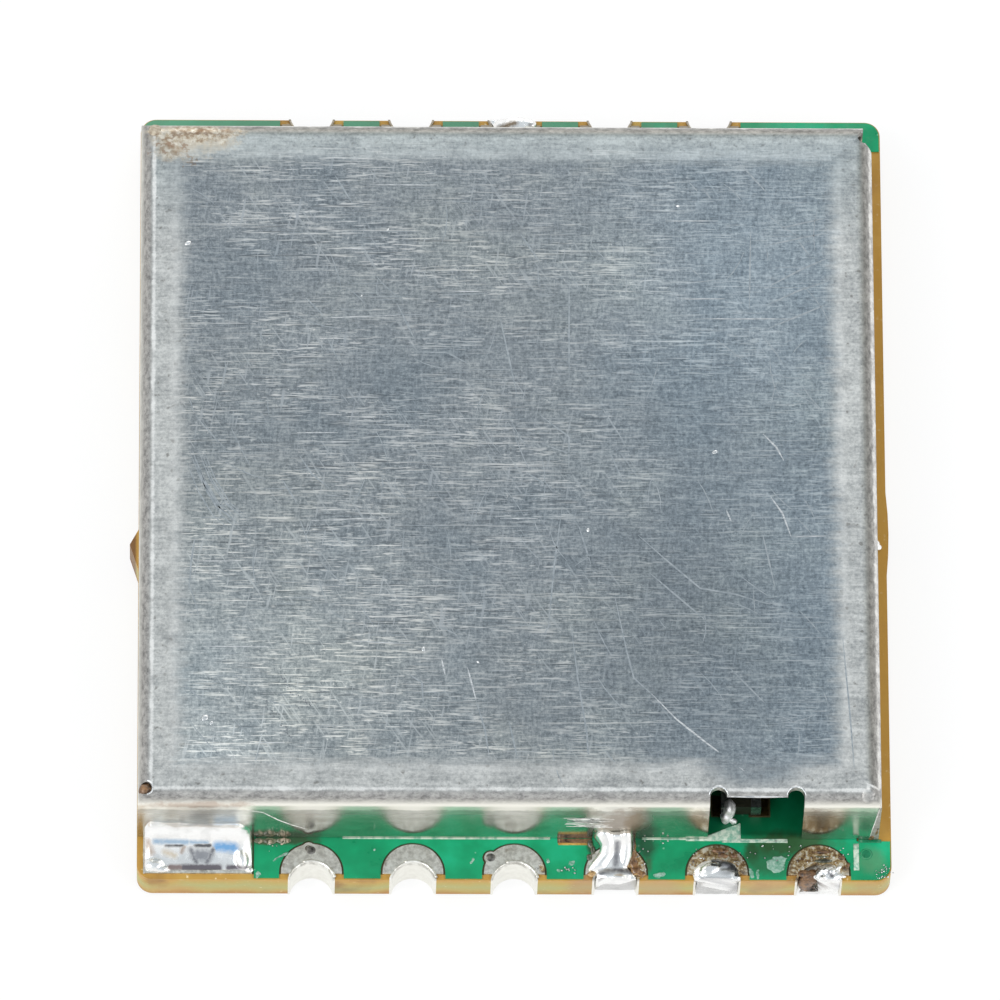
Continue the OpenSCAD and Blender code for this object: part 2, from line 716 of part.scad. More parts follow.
// Small parts with end caps
module part_bodies(places, part) {
    translate([0, 0, land_top]) linear_extrude(part[2] - cap_skin) at_places(places)
        square([part[0] - 2 * part[3], part[1] - 2 * cap_skin], center = true);
}
module part_ends(places, part) {
    color("silver") translate([0, 0, land_top]) linear_extrude(part[2]) at_places(places)
        for (side = [-1, 1]) translate([side * (part[0] - part[3]) / 2, 0])
            square([part[3], part[1]], center = true);
}
module filter_body() color("ivory") part_bodies(filter_places, filter);
module filter_ends() part_ends(filter_places, filter);
module capacitor_bodies() color("peru") part_bodies(capacitor_places, capacitor);
module capacitor_ends() part_ends(capacitor_places, capacitor);
module resistor_bodies() color("black") part_bodies(resistor_places, resistor);
module resistor_ends() part_ends(resistor_places, resistor);
module inductor_bodies() color("steelblue") part_bodies(inductor_places, inductor);
module inductor_ends() part_ends(inductor_places, inductor);
module bulk_capacitor_bodies() color("peru") part_bodies(bulk_places, bulk);
module bulk_capacitor_ends() part_ends(bulk_places, bulk);

circuit_board();
solder_mask_top();
solder_mask_bottom();
silkscreen_marks();
for (i = [1:FRONT_COUNT])
    terminal_front(i);
for (i = [1:BACK_COUNT])
    terminal_back(i);
ground_pad();
can_land_left();
can_land_right();
component_lands();
shield_can();
ground_pad_solder();
bridge_solder();
antenna_terminal_solder();
last_terminal_solder();
back_terminal_solder();
can_solder_tack();
transmitter_chip();
transmitter_leads();
amplifier_chip();
amplifier_leads();
regulator_body();
regulator_leads();
crystal_base();
crystal_lid();
filter_body();
filter_ends();
capacitor_bodies();
capacitor_ends();
resistor_bodies();
resistor_ends();
inductor_bodies();
inductor_ends();
bulk_capacitor_bodies();
bulk_capacitor_ends();
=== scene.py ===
"""Looks of a video transmitter module: a tin shield can on a green board with half-round terminals."""

import logging
import math
import random
from abc import ABC, abstractmethod
from dataclasses import dataclass
from enum import Enum
from functools import partial
from typing import Callable, ClassVar, Iterable, Optional, Sequence, Union

import bmesh
import bpy
from mathutils import Euler, Matrix, Vector, noise


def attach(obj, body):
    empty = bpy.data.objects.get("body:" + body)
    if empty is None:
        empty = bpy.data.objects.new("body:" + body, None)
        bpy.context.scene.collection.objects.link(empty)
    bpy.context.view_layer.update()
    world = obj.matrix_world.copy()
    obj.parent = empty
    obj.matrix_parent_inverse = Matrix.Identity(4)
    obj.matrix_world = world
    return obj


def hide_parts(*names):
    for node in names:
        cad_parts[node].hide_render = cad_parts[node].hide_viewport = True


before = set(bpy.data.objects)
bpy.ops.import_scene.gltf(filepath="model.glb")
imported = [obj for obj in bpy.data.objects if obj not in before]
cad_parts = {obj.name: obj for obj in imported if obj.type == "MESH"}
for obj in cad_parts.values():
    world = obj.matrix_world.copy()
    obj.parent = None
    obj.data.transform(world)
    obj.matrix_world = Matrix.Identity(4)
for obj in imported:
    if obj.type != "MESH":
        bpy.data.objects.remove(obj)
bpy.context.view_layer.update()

log = logging.getLogger("module")

MM = 0.001
SEED = 58

# Heights, edges and sizes that several pieces share, in millimetres
BOARD_TOP = 1.0
BOARD_FRONT = -10.5
LAND_TOP = 1.02
BORE = 0.55
DRILL_OUT = 0.12
CAN_TOP = 3.42
CAN_FRONT = -9.38
CAN_BEND = 0.35
CAN_MIDDLE = (-0.15, -0.03)
CAN_HALF = (9.28, 9.35)

UP = Vector((0, 0, 1))
FORWARD = Vector((0, -1, 0))

Point = tuple[float, float, float]
Path = tuple[tuple[float, float], ...]
Spot = tuple[float, float, float, float, float]
Node = bpy.types.Node
Tree = bpy.types.NodeTree
Add = Callable[..., Node]
Value = Union[float, str, Sequence[float], Node, bpy.types.NodeSocket]

# A Mix node blends colours unless its own settings say otherwise.
USUAL = {"Mix": {"data_type": "RGBA"}}


def linear(code: str) -> tuple[float, float, float, float]:
    """Turn an sRGB hex colour into linear values.

    Args:
        code: The colour as "#RRGGBB".

    Returns:
        Red, green, blue and a full alpha.
    """
    parts = [int(code[i : i + 2], 16) / 255 for i in (1, 3, 5)]
    red, green, blue = [c / 12.92 if c <= 0.04045 else ((c + 0.055) / 1.055) ** 2.4 for c in parts]
    return red, green, blue, 1.0


def add_node(
    tree: Tree,
    kind: str,
    inputs: Optional[dict[Union[int, str], Value]] = None,
    stops: Iterable[tuple[float, str]] = (),
    **settings: object,
) -> Node:
    """Add a shader node with its settings and links.

    Args:
        tree: The node tree that takes the node.
        kind: The node's type, without its prefix.
        inputs: Socket name or number, to a value, a hex colour, or the node or socket that feeds it.
        stops: Places and hex colours of a colour ramp.
        settings: The node's own settings.

    Returns:
        The new node.
    """
    node = tree.nodes.new("ShaderNode" + kind)
    for name, value in {**USUAL.get(kind, {}), **settings}.items():
        setattr(node, name, value)
    for number, (place, code) in enumerate(stops):
        ramp = node.color_ramp.elements
        stop = ramp[number] if number < len(ramp) else ramp.new(place)
        stop.position = place
        stop.color = linear(code)
    for key, value in (inputs or {}).items():
        if isinstance(key, int):
            socket = node.inputs[key]
        else:
            socket = next(s for s in node.inputs if s.enabled and s.name == key)
        if isinstance(value, Node):
            value = next(s for s in value.outputs if s.enabled)
        if isinstance(value, bpy.types.NodeSocket):
            tree.links.new(value, socket)
        else:
            socket.default_value = linear(value) if isinstance(value, str) else value
    return node


def distance(add: Add, mm: Node, at: Point, size: Point) -> bpy.types.NodeSocket:
    """Measure how far a point lies from the middle of a spot.

    Args:
        add: Adds a node to the material.
        mm: Object coordinates in millimetres.
        at: The spot's middle, in millimetres.
        size: The spot's half-widths, in millimetres, which count as a distance of 1.

    Returns:
        The socket that gives the distance.
    """
    near = add("Mapping", {"Vector": mm, "Location": at, "Scale": size}, vector_type="TEXTURE")
    return add("VectorMath", {0: near}, operation="LENGTH").outputs["Value"]


@dataclass(frozen=True)
class Patch:
    """A soft patch of tone with a ragged edge, laid on a finish by place, in millimetres."""

    at: Point
    size: Point
    tint: str
    most: float = 0.8
    soft: float = 0.6

    def over(self, add: Add, mm: Node, rag: Node, colour: Node, drawn: Optional[Node] = None) -> Node:
        """Lay the patch over a colour.

        Args:
            add: Adds a node to the material.
            mm: Object coordinates in millimetres.
            rag: A noise that breaks up the patch's edge.
            colour: The colour underneath.
            drawn: A pattern to lay in place of the plain tint.

        Returns:
            The node of the colour with the patch on it.
        """
        near = distance(add, mm, self.at, self.size)
        near = add("Math", {0: near, 1: rag}, operation="SUBTRACT")
        near = add("MapRange", {"Value": near, "From Max": self.soft, "To Min": self.most, "To Max": 0.0})
        return add("Mix", {"Factor": near, "A": colour, "B": drawn or self.tint})


class Finish(ABC):
    """A surface finish whose patterns are measured in millimetres."""

    name: ClassVar[str]

    def material(self) -> bpy.types.Material:
        """Give the finish as a material, made on first use.

        Returns:
            The material.
        """
        found = bpy.data.materials.get(self.name)
        if found is not None:
            return found
        material = bpy.data.materials.new(self.name)
        material.use_nodes = True
        tree = material.node_tree
        tree.nodes.clear()
        add = partial(add_node, tree)
        place = add("TexCoord")
        mm = add("Mapping", {"Vector": place.outputs["Object"], "Scale": (1 / MM, 1 / MM, 1 / MM)})
        add("OutputMaterial", {"Surface": self.surface(add, mm)})
        return material

    @abstractmethod
    def surface(self, add: Add, mm: Node) -> Node:
        """Build the shader.

        Args:
            add: Adds a node to the material.
            mm: Object coordinates in millimetres.

        Returns:
            The shader node.
        """


@dataclass(frozen=True)
class TinPlatedSheet(Finish):
    """Tin-plated steel sheet of the shield can."""

    name: ClassVar[str] = "tin_plated_steel"
    sheet: tuple[str, str, str] = ("#7F878C", "#A4ABAF", "#C9CECF")
    rub: tuple[tuple[float, float, float, float, str, float], ...] = (
        (3.7, 1.3, 0.05, 0.62, "#F6F5F1", 0.0),
        (6.2, 0.6, 0.045, 0.6, "#FFFEFA", 0.0),
        (12.4, 0.35, 0.05, 0.62, "#F4F4F1", 0.0),
        (9.1, 0.9, 0.05, 0.4, "#767D82", 0.0),
        (15.3, 1.1, 0.08, 0.64, "#CDD2D4", -58.0),
        (18.8, 0.9, 0.08, 0.64, "#CBD0D3", -100.0),
    )
    clouds: tuple[str, str, str] = ("#E3E8EC", "#F4F5F6", "#FFFFFC")
    level: float = 0.78
    pale: float = 0.6
    warm: str = "#FFFDF8"
    cool: str = "#F3FAFF"
    border_wear_and_light: tuple[str, str] = ("#9B9D9C", "#D9D9D5")
    back_worn: str = "#E6EDF0"
    pit: str = "#6E6C67"
    gleam: str = "#F3F2EE"
    bend_tone: tuple[str, str] = ("#7E7D7B", "#B9B7B3")
    wall_tone: tuple[str, str] = ("#BFBEB6", "#D6D5CD")
    soot: tuple[Patch, ...] = (
        Patch((-8.2, 8.85, 3.4), (1.3, 0.6, 50), "#C6BDAC", 0.75, 0.5),
        Patch((2.6, -9.38, 2.1), (0.7, 0.1, 0.8), "#B3A79B", 0.75),
        Patch((-7.9, -9.3, 3.06), (1.5, 0.3, 0.16), "#B59C8A", 0.6),
        Patch((3.0, -9.38, 2.0), (0.3, 0.1, 0.9), "#A39078", 0.6),
        Patch((4.55, -9.38, 2.3), (0.25, 0.1, 0.7), "#93836B", 0.6),
        Patch((7.7, -9.38, 2.2), (0.55, 0.1, 0.75), "#93836C", 0.65),
        Patch((1.6, -9.38, 2.6), (0.7, 0.1, 0.4), "#9C9487", 0.55),
        Patch((-5.5, -9.38, 2.3), (0.7, 0.1, 0.5), "#B0AA9D", 0.5),
    )
    crust: tuple[str, str, str, str] = ("#8F7860", "#B5A690", "#CDC5B5", "#E4E0D6")
    crusted: tuple[Patch, ...] = (
        Patch((-8.0, 8.95, 3.4), (1.25, 0.36, 50), "#CFC6B5", 0.85, 0.5),
        Patch((-8.75, 8.6, 3.4), (0.5, 0.42, 50), "#CFC6B5", 0.75, 0.5),
    )
    burnt: tuple[Patch, ...] = (
        Patch((-8.0, 9.0, 3.4), (0.85, 0.16, 50), "#7A604A", 0.7, 0.4),
        Patch((-8.62, 8.82, 3.4), (0.3, 0.16, 50), "#7E654E", 0.65, 0.4),
        Patch((-8.65, 8.52, 3.4), (0.55, 0.09, 50), "#8A6C54", 0.65, 0.4),
        Patch((-8.25, 8.3, 3.4), (0.25, 0.16, 50), "#8F775E", 0.5, 0.4),
    )
    crest_highlight: str = "#F4F2E8"
    far_bend_shade: str = "#DAD9D5"
    far_line: float = 0.055
    middle: tuple[float, float] = CAN_MIDDLE
    half: tuple[float, float] = CAN_HALF
    top: float = CAN_TOP
    bend: float = CAN_BEND
    band: float = 1.06

    def surface(self, add: Add, mm: Node) -> Node:
        """Build the shader: rolled streaks, a worn border with painted light, a painted highlight and painted
        shade on the bend, mirror walls with a painted crest highlight, and flux stains.

        Args:
            add: Adds a node to the material.
            mm: Object coordinates in millimetres.

        Returns:
            The shader node.
        """
        reach = self.edge_distance(add, mm)
        height = add("SeparateXYZ", {"Vector": mm}).outputs["Z"]
        tone, colour = self.rolled(add, mm)
        border_wear_and_light, border = self.border(add, mm, reach)
        colour = add("Mix", {"Factor": border, "A": colour, "B": border_wear_and_light})

        # The bend was rubbed dull by the folding tool, and its start is a painted highlight: a thin bright
        # line.
        scrape = add("Mapping", {"Vector": mm, "Scale": (1 / 0.22, 1 / 0.22, 1 / 0.07)})
        scrape = add("TexNoise", {"Vector": scrape, "Scale": 1.0, "Detail": 5.0, "Roughness": 0.8})
        bent = add("ValToRGB", {"Fac": scrape}, stops=zip((0.36, 0.62), self.bend_tone))
        ends = {"From Min": 0.24, "From Max": 0.34, "To Min": 1.0, "To Max": 0.0}
        over = add("MapRange", {"Value": reach, **ends})
        colour = add("Mix", {"Factor": over, "A": colour, "B": bent})
        # On the right and at the back the bend is painted darker as painted shade, and the painted highlight
        # moves to its foot.
        split = add("SeparateXYZ", {"Vector": mm})
        far = add("Math", {0: split.outputs["X"], 1: split.outputs["Y"]}, operation="ADD")
        far = add("MapRange", {"Value": far, "From Min": -0.1, "From Max": 0.1})
        shade = add("Math", {0: reach, 1: 0.27}, operation="SUBTRACT")
        shade = add("Math", {0: shade}, operation="ABSOLUTE")
        ends = {"From Min": 0.04, "From Max": 0.16, "To Min": 1.0, "To Max": 0.0}
        shade = add("MapRange", {"Value": shade, **ends})
        shade = add("Math", {0: shade, 1: far}, operation="MULTIPLY")
        colour = add("Mix", {"Factor": shade, "A": colour, "B": self.far_bend_shade}, blend_type="MULTIPLY")
        place = add("MapRange", {"Value": far, "To Min": self.bend - 0.01, "To Max": self.far_line})
        off = add("Math", {0: reach, 1: place}, operation="SUBTRACT")
        off = add("Math", {0: off}, operation="ABSOLUTE")
        broken = add("TexNoise", {"Vector": mm, "Scale": 1 / 0.5, "Detail": 6.0, "Roughness": 0.8})
        ends = {"From Min": 0.4, "From Max": 0.7, "To Min": 0.0, "To Max": 0.05}
        thick = add("MapRange", {"Value": broken, **ends})
        off = add("Math", {0: off, 1: thick}, operation="SUBTRACT")
        ends = {"From Min": 0.0, "From Max": 0.045, "To Min": 0.9, "To Max": 0.0}
        line = add("MapRange", {"Value": off, **ends})
        broken = add("MapRange", {"Value": broken, "From Min": 0.36, "From Max": 0.6, "To Min": 0.25})
        line = add("Math", {0: line, 1: broken}, operation="MULTIPLY")
        colour = add("Mix", {"Factor": line, "A": colour, "B": self.gleam})

        # The lower bend and the walls kept their bright plating and mirror the board.
        lift = add("Math", {0: far, 1: 0.3}, operation="MULTIPLY")
        lift = add("Math", {0: lift, 1: height}, operation="ADD")
        ends = {"From Min": self.top - 0.3, "From Max": self.top - 0.13, "To Min": 1.0, "To Max": 0.0}
        wall = add("MapRange", {"Value": lift, **ends})
        drag = add("Mapping", {"Vector": mm, "Scale": (1 / 0.5, 1 / 0.5, 1 / 0.25)})
        drag = add("TexNoise", {"Vector": drag, "Scale": 1.0, "Detail": 5.0, "Roughness": 0.65})
        bright = add("ValToRGB", {"Fac": drag}, stops=zip((0.35, 0.62), self.wall_tone))
        # Painted highlight: the top of the front wall is painted a bright crest with a wavy lower edge.
        wavy = add("MapRange", {"Value": drag, "To Min": -0.15, "To Max": 0.15})
        wavy = add("Math", {0: wavy, 1: height}, operation="ADD")
        top = add("MapRange", {"Value": wavy, "From Min": 2.76, "From Max": 2.83})
        front = add("MapRange", {"Value": split.outputs["Y"], "From Min": -9.2, "From Max": -9.34})
        top = add("Math", {0: top, 1: front}, operation="MULTIPLY")
        bright = add("Mix", {"Factor": top, "A": bright, "B": self.crest_highlight})
        colour = add("Mix", {"Factor": wall, "A": colour, "B": bright})

        # Flux ran over the back left corner and smoked the front wall beside the hand-soldered terminals.
        rag = add("TexNoise", {"Vector": mm, "Scale": 1 / 0.35, "Detail": 6.0, "Roughness": 0.75})
        rag = add("MapRange", {"Value": rag, "From Min": 0.25, "From Max": 0.75})
        for patch in self.soot:
            colour = patch.over(add, mm, rag, colour)
        char = add("TexNoise", {"Vector": mm, "Scale": 1 / 0.14, "Detail": 6.0, "Roughness": 0.75})
        crust = add("ValToRGB", {"Fac": char}, stops=zip((0.38, 0.46, 0.54, 0.64), self.crust))
        for patch in self.crusted:
            colour = patch.over(add, mm, rag, colour, crust)
        jag = add("TexNoise", {"Vector": mm, "Scale": 1 / 0.07, "Detail": 5.0, "Roughness": 0.8})
        jag = add("MapRange", {"Value": jag, "From Min": 0.35, "From Max": 0.65})
        # The burns crept along the streaks, so their outlines wander by a few tenths of a millimetre.
        creep = add("TexNoise", {"Vector": mm, "Scale": 1 / 0.3, "Detail": 2.0, "Roughness": 0.7})
        creep = creep.outputs["Color"]
        creep = add("VectorMath", {0: creep, 1: (0.5, 0.5, 0.5)}, operation="SUBTRACT")
        creep = add("VectorMath", {0: creep, 1: (2.4, 1.2, 0.0), 2: mm}, operation="MULTIPLY_ADD")
        for patch in self.burnt:
            colour = patch.over(add, creep, jag, colour)

        # The top scatters light, and the walls scatter little.
        rough = add("MapRange", {"Value": border, "To Min": 0.38, "To Max": 0.44})
        ends = {"From Min": 1.2, "From Max": 3.0, "To Min": 0.14, "To Max": 0.32}
        clear = add("MapRange", {"Value": height, **ends})
        rough = add("Mix", {"Factor": wall, "A": rough, "B": clear}, data_type="FLOAT")
        # Flux smoke took the mirror off the wall above the bridge.
        smoke_and_shade = distance(add, mm, (2.6, CAN_FRONT, 2.1), (0.9, 1000, 1.0))
        ends = {"From Min": 0.4, "From Max": 1.0, "To Min": 0.35, "To Max": 0.0}
        smoke_and_shade = add("MapRange", {"Value": smoke_and_shade, **ends})
        rough = add("Math", {0: rough, 1: smoke_and_shade}, operation="ADD")
        # Hair-fine scratches lay a thin haze over the walls.
        haze = add("MapRange", {"Value": wall, "To Min": 1.0, "To Max": 0.96})
        bump = add("Bump", {"Height": tone, "Strength": 0.3, "Distance": 0.005 * MM})
        wave = add("TexNoise", {"Vector": mm, "Scale": 1 / 0.9, "Detail": 2.0})
        bump = add("Bump", {"Height": wave, "Normal": bump, "Strength": 0.5, "Distance": 0.012 * MM})
        metal = {"Base Color": colour, "Metallic": haze, "Roughness": rough, "Normal": bump}
        return add("BsdfPrincipled", metal)

    def rolled(self, add: Add, mm: Node) -> tuple[Node, Node]:
        """Draw the rolled sheet of the can's top.

        Args:
            add: Adds a node to the material.
            mm: Object coordinates in millimetres.

        Returns:
            The nodes of its height and its colour.
        """
        # Rolling leaves streaks across, 0.05 mm wide and half a millimetre long or finer, over a fine grain.
        across = add("Mapping", {"Vector": mm, "Scale": (1 / 0.7, 1 / 0.065, 1)})
        streak = add("TexNoise", {"Vector": across, "Scale": 1.0, "Detail": 3.0, "Roughness": 0.65})
        short = add("Mapping", {"Vector": mm, "Location": (5, 2, 0), "Scale": (1 / 0.2, 1 / 0.05, 1)})
        short = add("TexNoise", {"Vector": short, "Scale": 1.0, "Detail": 2.0, "Roughness": 0.6})
        grain = add("TexNoise", {"Vector": mm, "Scale": 1 / 0.075, "Detail": 3.0, "Roughness": 0.75})
        thread = add("Mapping", {"Vector": mm, "Location": (1, 8, 0), "Scale": (1 / 0.06, 1 / 0.4, 1)})
        thread = add("TexNoise", {"Vector": thread, "Scale": 1.0, "Detail": 2.0})
        tone = add("Mix", {"Factor": 0.5, "A": streak, "B": short}, data_type="FLOAT")
        weave = add("Mix", {"Factor": 0.25, "A": grain, "B": thread}, data_type="FLOAT")
        tone = add("Mix", {"Factor": 0.62, "A": tone, "B": weave}, data_type="FLOAT")
        colour = add("ValToRGB", {"Fac": tone}, stops=zip((0.39, 0.5, 0.61), self.sheet))
        # Handling rubbed some streaks bright and left others dark, in loose groups, more of them on the left.
        group = add("Mapping", {"Vector": mm, "Scale": (1 / 2.6, 1 / 1.1, 1)})
        group = add("TexNoise", {"Vector": group, "Scale": 1.0, "Detail": 4.0, "Roughness": 0.6})
        group = add("MapRange", {"Value": group, "From Min": 0.38, "From Max": 0.58, "To Min": 0.15})
        side = add("SeparateXYZ", {"Vector": mm}).outputs["X"]
        ends = {"From Min": -4.0, "From Max": 6.0, "To Min": 1.0, "To Max": 0.5}
        left = add("MapRange", {"Value": side, **ends})
        group = add("Math", {0: group, 1: left}, operation="MULTIPLY")
        for shift, long, wide, level, tint, turn in self.rub:
            place = {
                "Vector": mm,
                "Location": (shift, shift, 0),
                "Rotation": (0, 0, math.radians(turn)),
                "Scale": (long, wide, 1),
            }
            dash = add("Mapping", place, vector_type="TEXTURE")
            dash = add("TexNoise", {"Vector": dash, "Scale": 1.0, "Detail": 1.5})
            end = level + 0.07 if level > 0.5 else level - 0.1
            dash = add("MapRange", {"Value": dash, "From Min": level, "From Max": end, "To Max": 0.9})
            dash = add("Math", {0: dash, 1: group}, operation="MULTIPLY")
            colour = add("Mix", {"Factor": dash, "A": colour, "B": tint})
        # Fine pricks, about 0.05 mm, shine where something sharp touched the sheet.
        prick = add("TexNoise", {"Vector": mm, "Scale": 1 / 0.075, "Detail": 1.0})
        prick = add("MapRange", {"Value": prick, "From Min": 0.71, "From Max": 0.8, "To Max": 0.8})
        prick = add("Math", {0: prick, 1: group}, operation="MULTIPLY")
        colour = add("Mix", {"Factor": prick, "A": colour, "B": self.gleam})
        # Slow clouds of tone, a few millimetres across, lean from blue to warm grey.
        cloud = add("TexNoise", {"Vector": mm, "Scale": 1 / 3.5, "Detail": 5.0, "Roughness": 0.6})
        cloud = add("ValToRGB", {"Fac": cloud}, stops=zip((0.34, 0.5, 0.66), self.clouds))
        colour = add("Mix", {"Factor": 1.0, "A": colour, "B": cloud}, blend_type="MULTIPLY")
        # Painted light and shade across the top: the front left is painted palest, the back right pale too,
        # and one spot at the front right dark.
        patchy = add("TexNoise", {"Vector": mm, "Scale": 1 / 1.5, "Detail": 5.0, "Roughness": 0.65})
        patchy = add("MapRange", {"Value": patchy, "To Min": -0.3, "To Max": 0.3})
        level: Value = self.level
        for at, size, much, bend in (
            ((-9.0, -8.5, 0), 10.0, self.pale, 1.5),
            ((6.0, 5.0, 0), 5.0, 0.24, 1.0),
            ((8.5, -3.0, 0), 3.5, 0.12, 1.0),
            ((4.4, -4.6, 0), 4.0, -0.16, 1.0),
        ):
            near = distance(add, mm, at, (size, size, 1000))
            near = add("Math", {0: near, 1: patchy}, operation="ADD")
            near = add("MapRange", {"Value": near, "To Min": 1.0, "To Max": 0.0})
            near = add("Math", {0: near, 1: bend}, operation="POWER")
            near = add("Math", {0: near, 1: much}, operation="MULTIPLY")
            level = add("Math", {0: near, 1: level}, operation="ADD")
        colour = add("VectorMath", {0: colour, "Scale": level}, operation="SCALE")
        deep = add("SeparateXYZ", {"Vector": mm}).outputs["Y"]
        corner = add("Math", {0: side, 1: deep}, operation="ADD")
        ends = {"From Min": -14.0, "From Max": -3.0, "To Min": 1.0, "To Max": 0.0}
        corner = add("MapRange", {"Value": corner, **ends})
        colour = add("Mix", {"Factor": corner, "A": colour, "B": self.warm}, blend_type="MULTIPLY")
        side = add("MapRange", {"Value": side, "From Min": 0.0, "From Max": 7.0})
        colour = add("Mix", {"Factor": side, "A": colour, "B": self.cool}, blend_type="MULTIPLY")
        return tone, colour

    def border(self, add: Add, mm: Node, reach: Node) -> tuple[Node, Node]:
        """Draw the worn border outside the pressed middle, with painted light in its paleness.

        Args:
            add: Adds a node to the material.
            mm: Object coordinates in millimetres.
            reach: Distance inside the can's outline.

        Returns:
            The nodes of its colour and of how much it covers.
        """
        # Rubbing left a matt grain of about 0.07 mm, with soft smears and a few dark pits; its paleness is
        # partly painted light, where the slope tilts towards brighter surroundings.
        grit = add("TexNoise", {"Vector": mm, "Scale": 1 / 0.08, "Detail": 3.0, "Roughness": 0.7})
        smear = add("TexNoise", {"Vector": mm, "Scale": 1 / 0.6, "Detail": 4.0})
        pull = add("Mapping", {"Vector": mm, "Scale": (1 / 0.5, 1 / 0.07, 1)})
        pull = add("TexNoise", {"Vector": pull, "Scale": 1.0, "Detail": 3.0})
        grit = add("Mix", {"Factor": 0.35, "A": grit, "B": pull}, data_type="FLOAT")
        grit = add("Mix", {"Factor": 0.28, "A": grit, "B": smear}, data_type="FLOAT")
        border_wear_and_light = add("ValToRGB", {"Fac": grit}, stops=zip((0.38, 0.6), self.border_wear_and_light))
        pit = add("TexNoise", {"Vector": mm, "Scale": 1 / 0.16, "Detail": 3.0})
        pit = add("MapRange", {"Value": pit, "From Min": 0.61, "From Max": 0.72, "To Max": 0.75})
        border_wear_and_light = add("Mix", {"Factor": pit, "A": border_wear_and_light, "B": self.pit})
        # Painted light: the slope up to the pressed middle is painted lighter, where it catches more light.
        off = add("Math", {0: reach, 1: self.band - 0.16}, operation="SUBTRACT")
        off = add("Math", {0: off}, operation="ABSOLUTE")
        strip = add("MapRange", {"Value": off, "From Max": 0.18, "To Min": 0.5, "To Max": 0.0})
        strip = add("Math", {0: strip, 1: smear}, operation="MULTIPLY")
        border_wear_and_light = add("Mix", {"Factor": strip, "A": border_wear_and_light, "B": self.gleam})
        deep = add("SeparateXYZ", {"Vector": mm}).outputs["Y"]
        back = add("MapRange", {"Value": deep, "From Min": 6.0, "From Max": 8.6})
        border_wear_and_light = add("Mix", {"Factor": back, "A": border_wear_and_light, "B": self.back_worn}, blend_type="MULTIPLY")
        drift = add("Mapping", {"Vector": mm, "Scale": (1 / 0.8, 1 / 0.16, 1)})
        drift = add("TexNoise", {"Vector": drift, "Scale": 1.0, "Detail": 4.0, "Roughness": 0.6})
        drift = add("MapRange", {"Value": drift, "To Min": -0.35, "To Max": 0.35})
        edge = add("Math", {0: reach, 1: drift}, operation="ADD")
        ends = {"From Min": self.band - 0.28, "From Max": self.band + 0.3, "To Min": 0.92, "To Max": 0.0}
        cover = add("MapRange", {"Value": edge, **ends}, interpolation_type="SMOOTHSTEP")
        # Behind the window the sheet was hardly touched.
        clean = distance(add, mm, (6.0, -8.35, 0), (1.5, 0.75, 1000))
        clean = add("MapRange", {"Value": clean, "From Min": 0.5, "From Max": 1.0, "To Min": 0.25})
        cover = add("Math", {0: cover, 1: clean}, operation="MULTIPLY")
        # At the back the streaks show through the rubbing.
        ends = {"From Min": 0.45, "From Max": 0.75, "To Min": 0.0, "To Max": 0.35}
        thin = add("MapRange", {"Value": reach, **ends})
        thin = add("Math", {0: thin, 1: back}, operation="MULTIPLY")
        thin = add("Math", {0: 1.0, 1: thin}, operation="SUBTRACT")
        return border_wear_and_light, add("Math", {0: cover, 1: thin}, operation="MULTIPLY")

    def edge_distance(self, add: Add, mm: Node) -> Node:
        """Measure how far a point lies inside the can's outline.

        Args:
            add: Adds a node to the material.
            mm: Object coordinates in millimetres.

        Returns:
            The node that gives the distance in millimetres.
        """
        middle = {"Vector": mm, "Location": (*self.middle, 0)}
        split = add("SeparateXYZ", {"Vector": add("Mapping", middle, vector_type="TEXTURE")})
        reach = []
        for axis, half in zip("XY", self.half):
            off = add("Math", {0: split.outputs[axis]}, operation="ABSOLUTE")
            reach.append(add("Math", {0: half, 1: off}, operation="SUBTRACT"))
        return add("Math", {0: reach[0], 1: reach[1]}, operation="MINIMUM")


